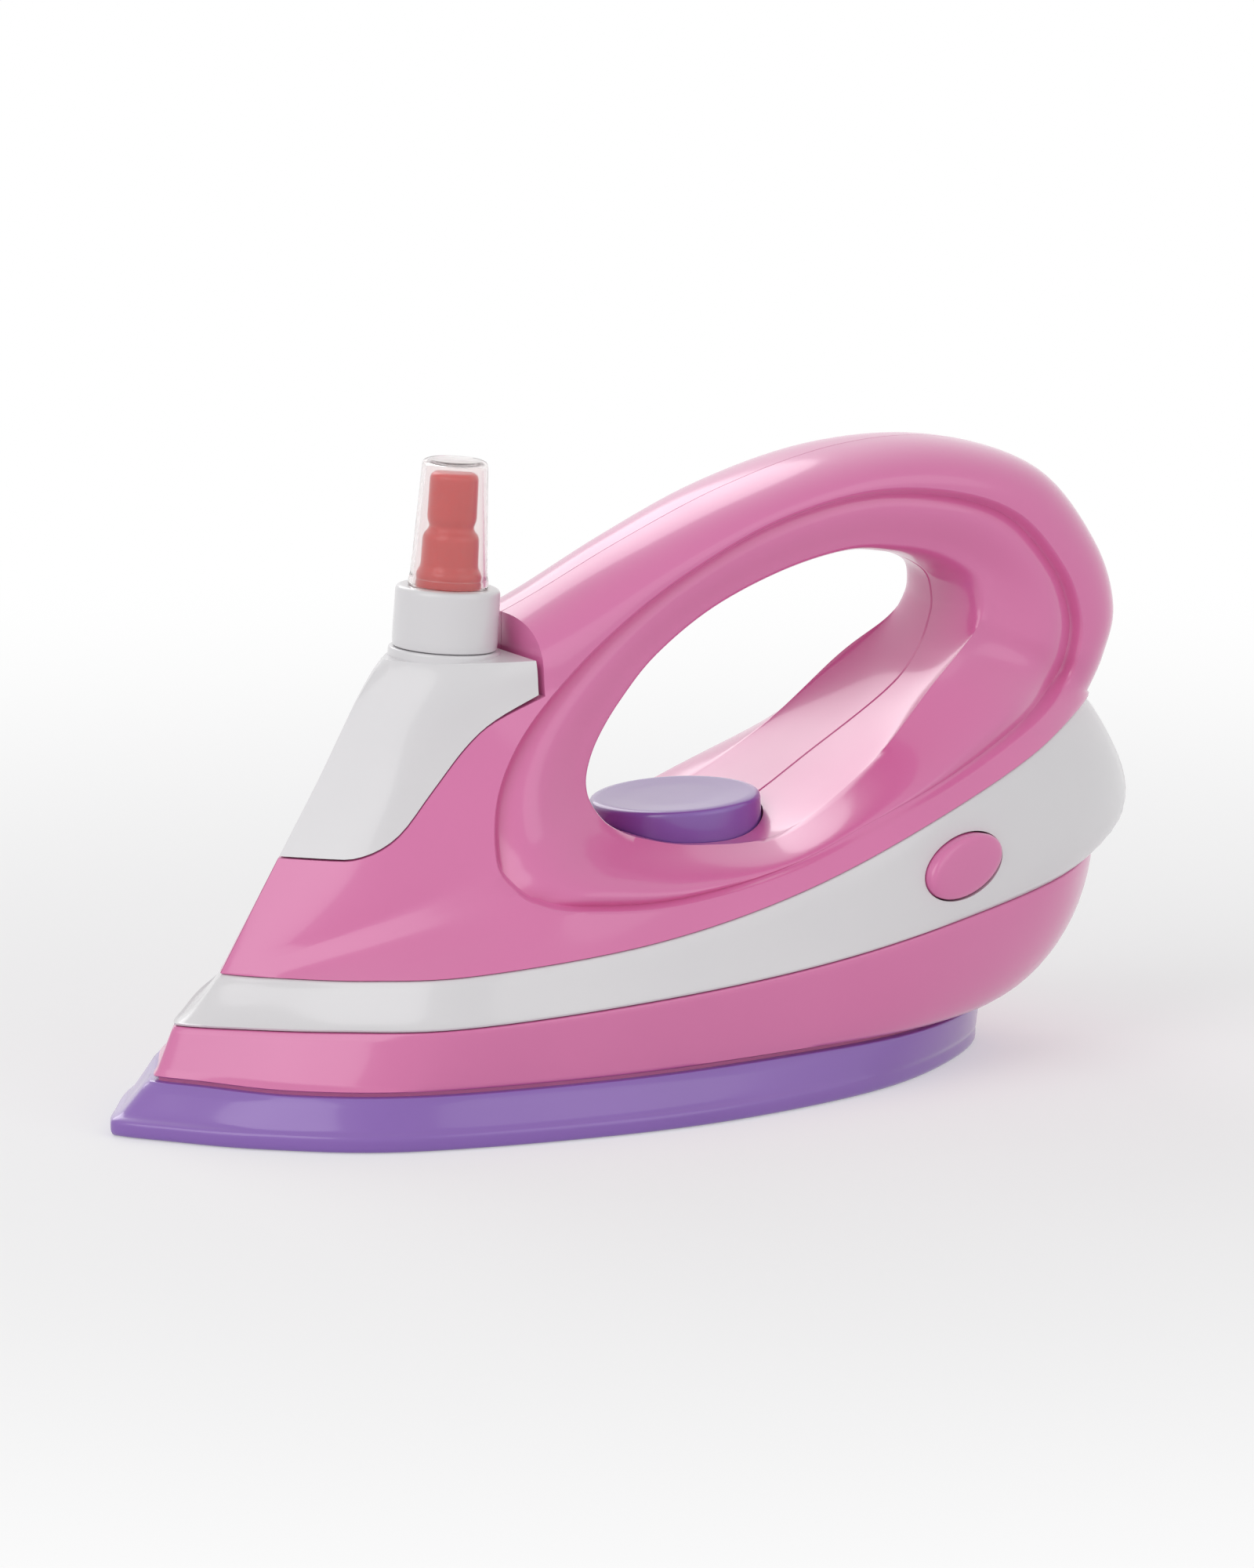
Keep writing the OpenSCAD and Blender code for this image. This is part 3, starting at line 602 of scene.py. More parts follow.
def discard(tool: bpy.types.Object) -> None:
    """Removes an object that has served, with its mesh.

    Args:
        tool: The object.
    """
    mesh = tool.data
    bpy.data.objects.remove(tool)
    bpy.data.meshes.remove(mesh)


def carve(piece: bpy.types.Object, cutter: bmesh.types.BMesh, cut: Cut) -> None:
    """Cuts a piece by a closed shape.

    Args:
        piece: The piece, whose mesh is replaced.
        cutter: The shape in millimetres, which is freed.
        cut: What to keep.
    """
    tool = to_object(cutter, "cutter")
    boolean = piece.modifiers.new("cut", "BOOLEAN")
    boolean.operation = cut.value
    boolean.solver = "EXACT"
    boolean.object = tool
    graph = bpy.context.evaluated_depsgraph_get()
    old = piece.data
    fresh = bpy.data.meshes.new_from_object(piece.evaluated_get(graph))
    piece.modifiers.clear()
    piece.data = fresh
    fresh.name = piece.name
    bpy.data.meshes.remove(old)
    discard(tool)


def attach(piece: bpy.types.Object, bm: bmesh.types.BMesh) -> None:
    """Adds a closed shape to a piece.

    Args:
        piece: The piece.
        bm: The shape in millimetres, which is freed.
    """
    part = to_object(bm, "part")
    whole = bmesh.new()
    whole.from_mesh(piece.data)
    whole.from_mesh(part.data)
    whole.to_mesh(piece.data)
    whole.free()
    discard(part)


def dress(
    piece: bpy.types.Object, finish: Finish, body: str, node: str, crisp: Crisp, edge: float = 0.0
) -> bpy.types.Object:
    """Gives a piece its finish, its smooth shading and its body, and hides the CAD node that it stands for.

    Args:
        piece: The piece.
        finish: Its finish.
        body: The body it moves with.
        node: The CAD node that it stands for.
        crisp: Which edges stay sharp.
        edge: Width of the bevel on sharp edges, 0 for none.

    Returns:
        The piece.
    """
    mesh = piece.data
    mesh.materials.clear()
    mesh.materials.append(finish.material())
    for polygon in mesh.polygons:
        polygon.material_index = 0
        polygon.use_smooth = True
    angle = math.radians(crisp.value)
    mesh.set_sharp_from_angle(angle=angle)
    if edge:
        bevel = piece.modifiers.new("edge", "BEVEL")
        bevel.width = edge * MM
        bevel.segments = 2
        bevel.limit_method = "ANGLE"
        bevel.angle_limit = angle
        bevel.harden_normals = True
    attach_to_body(piece, body)
    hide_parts(node)
    log.info("%s: %d faces on %s", piece.name, len(mesh.polygons), body)
    return piece


# Common lines of the mouldings


@dataclass
class Lines:
    """Main lines that the mouldings share, as shares of the length, of half the width and of the height."""

    length: float = 203.0
    height: float = 110.5
    width: float = 82.0
    sole_length: float = 175.0
    sole_width: float = 90.0
    sole_height: float = 9.0
    sole_margin: float = 0.9
    heel_bulge: float = 15.5
    bulge_height_share: float = 0.16
    seam: float = 0.15
    per_key: int = 8
    nose_point: float = 0.6
    sole_plan: Table = (
        (0, 0), (0.03, 0.19), (0.1, 0.53), (0.22, 0.85), (0.44, 1), (0.62, 0.965), (0.8, 0.76),
        (0.945, 0.36), (1, 0),
    )
    foot: Table = (
        (0.0487, 0), (0.0766, 0.173), (0.137, 0.519), (0.252, 0.784), (0.457, 0.896), (0.64, 0.856),
        (0.818, 0.72), (0.945, 0.392), (0.992, 0),
    )
    band_low: Table = (
        (0.062, 0, 0.167), (0.092, 0.2, 0.169), (0.158, 0.57, 0.176), (0.246, 0.902, 0.186),
        (0.419, 1, 0.202), (0.591, 0.983, 0.226), (0.739, 0.915, 0.265), (0.895, 0.634, 0.305),
        (0.978, 0, 0.318),
    )
    band_high: Table = (
        (0.108, 0, 0.243), (0.137, 0.2, 0.244), (0.192, 0.555, 0.252), (0.271, 0.83, 0.264),
        (0.433, 0.937, 0.292), (0.586, 0.917, 0.347), (0.734, 0.854, 0.438), (0.877, 0.585, 0.52),
        (0.975, 0, 0.556),
    )
    bulge: Shares = (0.02, 0.03, 0.04, 0.04, 0.04, 0.05, 0.12, 0.42, 1)
    skirt_round: Shares = (0, 0, 0.2, 0.5, 0.7, 0.8, 0.9, 0.9, 0.85)

    @property
    def nose_x(self) -> float:
        """The tip of the sole, which puts the middle of the iron's length on x = 0."""
        return -((self.band_low[-1][0] + self.band_high[-1][0]) * self.length + self.heel_bulge) / 4

    def along(self, share: float) -> float:
        """A place along the length."""
        return self.nose_x + share * self.length

    def placed(self, share: Shares, side: float = 1.0) -> Vector:
        """A point from its three shares, on the side of the given sign."""
        return Vector((self.along(share[0]), side * share[1] * self.width / 2, share[2] * self.height))

    def on_sole(self, share: Shares, z: float) -> Vector:
        """A point from its shares of the sole's length and of half its width, at a height."""
        return Vector((self.nose_x + share[0] * self.sole_length, share[1] * self.sole_width / 2, z))

    def belt_at(self, keys: Sequence[Vector], u: float) -> Vector:
        """Draws the belt line through the keys, which comes to a soft point at the nose.

        Args:
            keys: The keys, all round from the nose.
            u: Place along the line, counted in keys.

        Returns:
            The point at that place.
        """
        a, b, c, d, s = round_about(keys, u)
        stretch = math.floor(u) % len(keys)
        if stretch == 0:
            a = mix(a, b * 2 - c, self.nose_point)
        if stretch == len(keys) - 1:
            d = mix(d, c * 2 - b, self.nose_point)
        return spline(a, b, c, d, s)

    def belt(self, keys: Sequence[Vector]) -> Row:
        """The belt line through the keys."""
        return [self.belt_at(keys, i / self.per_key) for i in range(len(keys) * self.per_key)]

    def sole_loop(self) -> Row:
        """Edge of the ironing face."""
        return self.belt(both_sides([self.on_sole(s, 0) for s in self.sole_plan]))

    def foot_loop(self) -> Row:
        """Foot of the skirt on the sole."""
        return self.belt(both_sides([self.on_sole(s, self.sole_height) for s in self.foot]))

    def low_keys(self) -> list[Vector]:
        """Keys of the band's lower edge."""
        return both_sides([self.placed(s) for s in self.band_low])

    def high_keys(self) -> list[Vector]:
        """Keys of the band's upper edge."""
        return both_sides([self.placed(s) for s in self.band_high])

    def all_round(self, values: Shares) -> list[float]:
        """Values of the belt line's points, all round the iron."""
        return closed_curve(there_and_back(values), self.per_key)

    def band_point(self, a: Vector, b: Vector, out: Vector, s: float) -> Vector:
        """Draws the band's section between its edges, bulged outwards.

        Args:
            a: Point of the lower edge.
            b: Point of the upper edge.
            out: How far the section's knee stands out.
            s: Share of the way up.

        Returns:
            The point at that share.
        """
        middle = mix(a, b, 0.5)
        knee = Vector((middle.x, middle.y, mix(a.z, b.z, self.bulge_height_share))) + out
        return mix(mix(a, knee, s), mix(knee, b, s), s)

    def band_row(self, s: float) -> Row:
        """Draws a row of the band's outside.

        Args:
            s: Share of the band's height.

        Returns:
            The row.
        """
        low, high = self.belt(self.low_keys()), self.belt(self.high_keys())
        bulge = self.all_round(self.bulge)
        lid = Vector((0, 0, self.seam))
        return [
            self.band_point(a, b - lid, flat_normal(low, i) * (bulge[i] * self.heel_bulge), s)
            for i, (a, b) in enumerate(zip(low, high))
        ]

    def skirt_row(self, s: float) -> Row:
        """Draws a row of the skirt's outside.

        Args:
            s: Share of the skirt's height.

        Returns:
            The row.
        """
        top = self.belt(self.low_keys())
        rounds = self.all_round(self.skirt_round)
        row = []
        for a, b, w in zip(self.foot_loop(), top, rounds):
            across = mix(s, math.sin(math.pi / 2 * s), w)
            z = mix(a.z, b.z - self.seam, mix(s, 1 - math.cos(math.pi / 2 * s), w))
            row.append(Vector((mix(a.x, b.x, across), mix(a.y, b.y, across), z)))
        return row


# Belts


@dataclass
class Sole:
    """Purple sole with a rounded flange, a sloping wall and the sinks of its screws.

    Rows of the flange and the rim are widths and heights. Rows of the slope are shares of the way from the
    flange to the rim, and heights.
    """

    lines: Lines
    wall: float = 2.5
    sink_d: float = 6.2
    sink_span: Shares = (-1.0, 3.5)
    screw_places: Table = ((0.217, 0.39), (0.789, 0.39))
    flange: Table = (
        (-1.1, 0), (-0.62, 0.1), (-0.25, 0.36), (-0.06, 0.75), (0, 1.2), (0, 2.1), (-0.05, 2.5),
    )
    slope: Table = (
        (0.04, 2.8), (0.1, 3.05), (0.18, 3.28), (0.26, 3.55), (0.34, 4.05), (0.45, 4.85), (0.6, 5.98),
        (0.78, 7.34), (0.92, 8.4),
    )
    rim: Table = ((-0.03, -0.28), (-0.14, -0.09), (-0.34, 0))

    def screw_spots(self) -> list[Matrix]:
        """Frames of the screws.

        Returns:
            The frames, on the ironing face.
        """
        lines = self.lines
        return [
            Matrix.Translation((lines.nose_x + x * lines.sole_length, side.value * y * lines.width / 2, 0))
            for x, y in self.screw_places for side in Side
        ]

    def build(self) -> None:
        """Lofts the sole, cuts the sinks and dresses it."""
        loop = self.lines.sole_loop()
        top = grown(self.lines.foot_loop(), self.lines.sole_margin)
        rows = [grown(loop, by, z) for by, z in self.flange]
        for s, z in self.slope:
            rows.append([Vector((mix(a.x, b.x, s), mix(a.y, b.y, s), z)) for a, b in zip(loop, top)])
        rows += [grown(top, by, rise) for by, rise in self.rim]
        rows.append(grown(top, -self.wall))
        piece = to_object(loft(rows), "moulded_sole")
        carve(piece, drums(self.sink_d, *self.sink_span, self.screw_spots(), SINK_FACETS), Cut.REMOVE)
        dress(piece, PURPLE, "body", "soleplate", Crisp.BELT)


@dataclass
class Skirt:
    """Pink tub between the sole and the band; rows of its edges are widths and heights."""

    lines: Lines
    wall: float = 2.4
    rows: int = 16
    first_plain_row: int = 3
    foot_groove: Table = ((-1.0, 0), (-1.0, 0.6), (-0.35, 0.72), (-0.08, 0.95))
    top_edge: Table = ((-0.03, -0.35), (-0.12, -0.12), (-0.4, 0))
    lip_rise: float = 1.0

    def build(self) -> None:
        """Lofts the tub's outside above its foot groove and the lip inside the band and dresses it."""
        outside = [self.lines.skirt_row(i / self.rows) for i in range(self.rows + 1)]
        foot, middle, top = outside[0], outside[self.rows // 2], outside[-1]
        rows = [grown(foot, by, rise) for by, rise in self.foot_groove]
        rows += outside[self.first_plain_row:-1]
        rows += [grown(top, by, rise) for by, rise in self.top_edge]
        rows += [grown(top, -self.wall), grown(middle, -self.wall, self.lip_rise)]
        dress(to_object(loft(rows), "moulded_skirt"), PINK, "body", "lower_skirt", Crisp.BELT)


@dataclass
class SideButton:
    """One oval button in the band, with its place and the window that it moves in.

    Rows of the face are widths, and heights over the face's edge.
    """

    lines: Lines
    side: Side
    along_share: float = 0.763
    height_share: float = 0.63
    run_step: float = 0.2
    length: float = 18.0
    width: float = 10.5
    proud: float = 1.2
    set_back: float = 4.6
    flange: float = 1.2
    flange_height: float = 1.4
    slope: float = 15.0
    window_gap: float = 0.3
    window_span: Shares = (-8.0, 6.0)
    sides: int = 72
    face: Table = (
        (0, -1.0), (-0.1, -0.6), (-0.35, -0.28), (-0.8, -0.06), (-1.6, 0.08), (-3.0, 0.18), (-4.6, 0.23),
    )

    def place(self) -> Matrix:
        """Works out the button's frame.

        Returns:
            The frame: x along the band, y up and z out of the band.
        """
        lines = self.lines
        key = self.along_share * (len(lines.band_low) - 1)
        low, high = lines.low_keys(), lines.high_keys()
        run = closed_at(low, key + self.run_step) - closed_at(low, key - self.run_step)
        out = Vector((run.y, -run.x, 0)).normalized()
        bulge = closed_at(there_and_back(lines.bulge), key) * lines.heel_bulge
        spot = lines.band_point(closed_at(low, key), closed_at(high, key), out * bulge, self.height_share)
        left = (
            Matrix.Translation(spot)
            @ Matrix.Rotation(math.atan2(run.y, run.x), 4, "Z")
            @ Matrix.Rotation(math.pi / 2, 4, "X")
        )
        if self.side is Side.LEFT:
            return left
        return Matrix.Diagonal((1, -1, 1, 1)) @ left

    def oval(self, by: float, z: float) -> Row:
        """Draws the button's oval.

        Args:
            by: Width that it is let out by.
            z: Its height.

        Returns:
            The oval, sloped along the band.
        """
        turn = Matrix.Rotation(math.radians(self.slope), 3, "Z")
        return [
            turn @ Vector((math.cos(a) * (self.length / 2 + by), math.sin(a) * (self.width / 2 + by), z))
            for a in (math.tau * i / self.sides for i in range(self.sides))
        ]

    def window(self) -> bmesh.types.BMesh:
        """The window's cutter through the band."""
        return loft([self.oval(self.window_gap, z) for z in self.window_span], place=self.place())

    def build(self) -> None:
        """Stacks the ovals of the button's flange and domed face and dresses it."""
        side, back = self.side.label, -self.set_back
        stack = [(self.flange, back - self.flange_height), (self.flange, back), (0, back)]
        stack += [(by, self.proud + rise) for by, rise in self.face]
        bm = loft([self.oval(by, z) for by, z in stack], place=self.place())
        dress(to_object(bm, f"{side}_oval_button"), PINK, f"{side}_push", f"{side}_button", Crisp.TURNED)


@dataclass
class Band:
    """White belt that bulges out at the heel, with the windows of the buttons.

    Rows of the edge are widths, and heights towards the band's middle. The lining goes down by shares of
    the band's height.
    """

    lines: Lines
    buttons: tuple[SideButton, ...]
    wall: float = 2.4
    rows: int = 14
    edge: Table = ((-0.5, 0), (-0.15, 0.1), (0, 0.45))
    lining: Shares = (1, 0.75, 0.5, 0.25, 0)

    def build(self) -> None:
        """Lofts the belt round its section, cuts the windows and dresses it."""
        low, high = self.lines.band_row(0), self.lines.band_row(1)
        rows = [grown(low, by, rise) for by, rise in self.edge]
        rows += [self.lines.band_row(i / self.rows) for i in range(1, self.rows)]
        rows += [grown(high, by, -rise) for by, rise in reversed(self.edge)]
        rows += [grown(self.lines.band_row(s), -self.wall) for s in self.lining]
        piece = to_object(loft(rows, close=True), "belt")
        for button in self.buttons:
            carve(piece, button.window(), Cut.REMOVE)
        dress(piece, WHITE, "body", "trim_band", Crisp.BELT)


# Upper body and tank


@dataclass
class UpperBody:
    """Loft round the handle opening that the body halves and the tank are cut from."""

    lines: Lines
    recess: float = 2.2
    crease_width: float = 1.6
    floor_power: float = 1.6
    crown: Table = (
        (0.988, 0, 0.615), (0.998, 0, 0.7), (0.978, 0, 0.81), (0.921, 0, 0.935), (0.828, 0, 0.994),
        (0.724, 0, 0.995), (0.611, 0, 0.947), (0.507, 0, 0.875), (0.414, 0, 0.799), (0.362, 0, 0.765),
        (0.272, 0, 0.724), (0.195, 0, 0.507),
    )
    creases: Table = (
        (0.32, 0.549, 0.416), (0.325, 0.659, 0.378), (0.34, 0.732, 0.357), (0.374, 0.805, 0.344),
        (0.468, 0.859, 0.34), (0.591, 0.859, 0.377), (0.727, 0.805, 0.455), (0.852, 0.585, 0.532),
        (0.921, 0.354, 0.584), (0.936, 0.354, 0.638), (0.938, 0.354, 0.701), (0.919, 0.366, 0.783),
        (0.872, 0.378, 0.878), (0.805, 0.383, 0.928), (0.719, 0.378, 0.944), (0.626, 0.366, 0.912),
        (0.539, 0.354, 0.844), (0.473, 0.354, 0.774), (0.411, 0.378, 0.692), (0.36, 0.41, 0.602),
        (0.33, 0.463, 0.511),
    )
    rims: Table = (
        (0.428, 0.39, 0.498), (0.435, 0.415, 0.468), (0.447, 0.451, 0.445), (0.473, 0.488, 0.425),
        (0.527, 0.524, 0.407), (0.611, 0.524, 0.412), (0.704, 0.476, 0.502), (0.778, 0.402, 0.617),
        (0.82, 0.341, 0.674), (0.837, 0.329, 0.71), (0.842, 0.317, 0.747), (0.835, 0.305, 0.787),
        (0.803, 0.293, 0.824), (0.761, 0.293, 0.844), (0.709, 0.293, 0.851), (0.64, 0.293, 0.828),
        (0.567, 0.293, 0.778), (0.507, 0.305, 0.71), (0.468, 0.329, 0.643), (0.442, 0.354, 0.584),
        (0.429, 0.373, 0.534),
    )
    throats: Table = (
        (0.438, 0, 0.5), (0.445, 0, 0.468), (0.457, 0, 0.442), (0.483, 0, 0.418), (0.534, 0, 0.394),
        (0.613, 0, 0.409), (0.704, 0, 0.5), (0.781, 0, 0.586), (0.81, 0, 0.643), (0.823, 0, 0.697),
        (0.825, 0, 0.733), (0.818, 0, 0.772), (0.791, 0, 0.803), (0.754, 0, 0.822), (0.707, 0, 0.83),
        (0.644, 0, 0.808), (0.574, 0, 0.76), (0.517, 0, 0.697), (0.479, 0, 0.635), (0.453, 0, 0.581),
        (0.441, 0, 0.537),
    )
    powers: Shares = (
        1.3, 1.15, 1.05, 1, 1, 1, 1, 1.2, 1.8, 2, 2.2, 2.2, 2.2, 2.2, 2.2, 2.2, 2.2, 2.2, 2.6, 2.2, 1.7,
    )
    ridge_knee: Shares = (0.36, 0.6)
    ridge_fade: Shares = (0.5, 1)
    ridge_weight: float = 6.0
    roll_rise_share: float = 0.13
    crest_share: float = 0.3
    roll_steps: Shares = (
        0, 0.006, 0.02, 0.045, 0.08, 0.12, 0.17, 0.23, 0.3, 0.38, 0.47, 0.56, 0.66, 0.76, 0.86, 0.95,
    )
    crease_steps: Shares = (0, 0.17, 0.34, 0.5, 0.66, 0.83, 1)
    floor_steps: Shares = (0.04, 0.09, 0.15, 0.22, 0.3, 0.39, 0.49, 0.6, 0.71, 0.81, 0.91, 1)
    rim_steps: int = 12
    groove: float = 0.25
    groove_edge_share: float = 0.12
    merge: float = 0.02

    def line(self, shares: Table) -> Row:
        """A closed line on the left side."""
        return closed_curve([self.lines.placed(s, -1) for s in shares], self.lines.per_key)

    @cached_property
    def outer(self) -> Row:
        """Draws the left side's outline.

        Returns:
            The band's upper edge on the left side, then up the handle, over it and down the nose.
        """
        per_key = self.lines.per_key
        high = self.lines.high_keys()
        heel = len(self.lines.band_high) - 1
        rise = [high[heel], *(self.lines.placed(s) for s in self.crown), high[0]]
        belt = [self.lines.belt_at(high, i / per_key) for i in range(heel * per_key)]
        return belt + [open_at(rise, i / per_key) for i in range((len(rise) - 1) * per_key)]

    @cached_property
    def crease(self) -> Row:
        """The edge of the recess round the opening."""
        return self.line(self.creases)

    @cached_property
    def rim(self) -> Row:
        """The edge of the opening."""
        return self.line(self.rims)

    @cached_property
    def throat(self) -> Row:
        """The opening on the centre plane."""
        return self.line(self.throats)

    @cached_property
    def power(self) -> list[float]:
        """How full the roll is, along the outline."""
        return [max(1.0, p) for p in closed_curve(self.powers, self.lines.per_key)]

    @cached_property
    def ridge(self) -> list[float]:
        """How much of a ridge the roll is, along the outline: only near the nose."""
        plain = [0.0] * (len(self.creases) - len(self.ridge_fade))
        return [max(0.0, min(1.0, s)) for s in closed_curve([*plain, *self.ridge_fade], self.lines.per_key)]

    def roll(self, i: int, s: float) -> Vector:
        """Draws the roll from the outline to the crease.

        Args:
            i: Point of the outline.
            s: Share of the way to the crease.

        Returns:
            The point at that share.
        """
        o, c, k = self.outer[i], self.crease[i], self.power[i]
        level, deep = self.ridge_knee
        plain = mix_axes(o, c, s, (1 - (1 - s) ** k) ** (1 / k), s)
        knee = mix_axes(o, c, level, deep, level)
        a, b, d = (1 - s) ** 2, 2 * s * (1 - s) * self.ridge_weight, s * s
        return mix(plain, (o * a + knee * b + c * d) / (a + b + d), self.ridge[i])

    def side_way(self, start: Row, end: Row, i: int) -> Vector:
        """The direction from one line to another in side view."""
        return Vector((end[i].x - start[i].x, 0, end[i].z - start[i].z)).normalized()

    def step(self, i: int, s: float) -> Vector:
        """A point of the rounded step down into the recess, at the share s."""
        down = Vector((0, self.recess * (s * s * (3 - 2 * s)), 0))
        return self.crease[i] + self.side_way(self.crease, self.rim, i) * (self.crease_width * s) + down

    def crest(self, s: float) -> float:
        """Draws the roll round the opening.

        Args:
            s: Share of the way over the recess's floor.

        Returns:
            How far the roll stands up there, 1 at its crest.
        """
        top = self.crest_share
        if s < top:
            return math.sin(math.pi / 2 * s / top)
        return math.cos(math.pi / 2 * (s - top) / (1 - top)) ** 2

    def floor(self, i: int, s: float) -> Vector:
        """Draws the recess's floor.

        Args:
            i: Point of the outline.
            s: Share of the way from the crease's step to the rim.

        Returns:
            The point at that share.
        """
        f, r = self.step(i, 1), self.rim[i]
        rise = self.roll_rise_share * math.hypot(r.x - f.x, r.z - f.z) * self.crest(s)
        return Vector((mix(f.x, r.x, s), mix(f.y, r.y, s**self.floor_power) - rise, mix(f.z, r.z, s)))

    def turn(self, i: int, s: float) -> Vector:
        """Draws the quarter turn from the rim to the throat.

        Args:
            i: Point of the outline.
            s: Share of the turn.

        Returns:
            The point at that share.
        """
        a = math.pi / 2 * s
        r, t = self.rim[i], self.throat[i]
        return Vector((mix(r.x, t.x, math.sin(a)), r.y * math.cos(a), mix(r.z, t.z, math.sin(a))))

    def rows(self, parting: float) -> list[Row]:
        """Draws the left side, from the parting plane round the outside to the opening's throat.

        Args:
            parting: The y of the parting plane, 0 for a side without the parting line's groove.

        Returns:
            The rows, each from the nose along the belt to the heel and back over the handle.
        """
        every = range(len(self.outer))
        groove = self.groove if parting else 0.0

        def kept(p: Vector) -> Vector:
            """Holds a point on its own side of the parting plane."""
            return Vector((p.x, min(p.y, parting), p.z))

        def parted(line: Row) -> Row:
            """A line on the parting plane, sunk into the moulding by the groove."""
            sunk = [self.side_way(line, self.crease, i) * groove for i in every]
            return [Vector((p.x, parting, p.z)) + by for p, by in zip(line, sunk)]

        turns = [k / self.rim_steps for k in range(1, self.rim_steps)]
        near = 1 - 1 / self.rim_steps
        edge = [mix(self.turn(i, 1), self.turn(i, near), self.groove_edge_share) for i in every]
        return [
            parted(self.outer),
            *([kept(self.roll(i, s)) for i in every] for s in self.roll_steps),
            *([self.step(i, s) for i in every] for s in self.crease_steps),
            *([self.floor(i, s) for i in every] for s in self.floor_steps),
            *([kept(self.turn(i, s)) for i in every] for s in turns),
            [Vector((p.x, parting - groove, p.z)) for p in edge],
            parted(self.throat),
        ]

    def left_side(self, parting: float) -> bmesh.types.BMesh:
        """The left side as a closed shape in millimetres."""
        return loft(self.rows(parting), close=True, merge=self.merge)


@dataclass
class Tank:
    """White tank in the nose, its neck's frame and the pocket that it lifts out of."""

    upper: UpperBody
    clearance: float = 0.35
    rear_gap: float = 1.2
    rear_share: float = 0.382
    corner_share: float = 0.668
    shoulder_share: float = 0.722
    neck_share: float = 0.331
    lean: float = 4.0
    seat_step: float = 1.0
    seat_d: float = 20.0
    seat_depth: float = 2.0
    sump_d: float = 20.0
    sump_depth: float = 33.0
    neck_d: float = 16.0
    neck_height: float = 3.6
    neck_facets: int = 96
    neck_corner_steps: int = 4
    underside_steps: int = 4
    on_plane: float = 1e-4
    edge: float = 0.35
    underside: Table = (
        (0.1, 0.42), (0.187, 0.423), (0.217, 0.429), (0.248, 0.462), (0.281, 0.529), (0.313, 0.595),
        (0.34, 0.633),
    )

    @property
    def shoulder_z(self) -> float:
        """Height of the flat shoulder."""
        return self.shoulder_share * self.upper.lines.height

    def place(self) -> Matrix:
        """The neck's frame, on the seat of the collar."""
        spot = (self.upper.lines.along(self.neck_share), 0, self.shoulder_z + self.seat_step)
        return Matrix.Translation(spot) @ Matrix.Rotation(math.radians(self.lean), 4, "Y")

    def block(self, gap: float, rear: float, top: float) -> bmesh.types.BMesh:
        """Makes a prism of the tank's side view, right across the iron, with a smooth underside.

        Args:
            gap: Room below the underside.
            rear: Room behind the tank.
            top: Height of the upper end.

        Returns:
            The prism.
        """
        lines, steps = self.upper.lines, self.underside_steps
        keys = [Vector((lines.along(x), z * lines.height - gap)) for x, z in self.underside]
        back = lines.along(self.rear_share) + rear
        keys.append(Vector((back, self.corner_share * lines.height - gap)))
        side = [open_at(keys, i / steps) for i in range((len(keys) - 1) * steps + 1)]
        side += [Vector(p) for p in ((back, top), (lines.nose_x, top), (lines.nose_x, keys[0].y))]
        flanks = [[Vector((p.x, s.value * lines.width / 2, p.y)) for p in side] for s in Side]
        return loft(flanks, merge=FINE_MERGE)

    def bore(self, rise: float) -> bmesh.types.BMesh:
        """The cutter of the sump's bore, up to a height over the collar's seat."""
        d, low = self.sump_d + 2 * self.clearance, -self.sump_depth - self.clearance
        return drums(d, low, rise, [self.place()], CUTTER_FACETS)

    def neck(self) -> bmesh.types.BMesh:
        """Spins the sump, the seat of the collar and the neck.

        Returns:
            The closed shape in its place.
        """
        sump, seat, neck = self.sump_d / 2, self.seat_d / 2, self.neck_d / 2
        profile = [
            (0, -self.sump_depth, 0), (sump, -self.sump_depth, 1.2), (sump, -self.seat_depth, 0),
            (seat, -self.seat_depth, 0), (seat, 0, 0.5), (neck, 0, 0), (neck, self.neck_height, 0.3),
            (0, self.neck_height, 0),
        ]
        return turned(profile, self.place(), self.neck_facets, self.neck_corner_steps)

    def build(self) -> None:
        """Cuts the shell out of the upper body, adds the sump and the neck and dresses it."""
        bm = self.upper.left_side(0.0)
        twin = bmesh.ops.duplicate(bm, geom=bm.verts[:] + bm.edges[:] + bm.faces[:])["geom"]
        mirrored = [g for g in twin if isinstance(g, bmesh.types.BMVert)]
        bmesh.ops.scale(bm, vec=(1, -1, 1), verts=mirrored)
        flat = [f for f in bm.faces if all(abs(v.co.y) < self.on_plane for v in f.verts)]
        bmesh.ops.delete(bm, geom=flat, context="FACES_ONLY")
        piece = to_object(settle(bm, None, self.upper.merge), "nose_tank")
        carve(piece, self.block(0, 0, self.shoulder_z), Cut.KEEP)
        attach(piece, self.neck())
        dress(piece, WHITE, "tank", "water_tank", Crisp.CUT, self.edge)


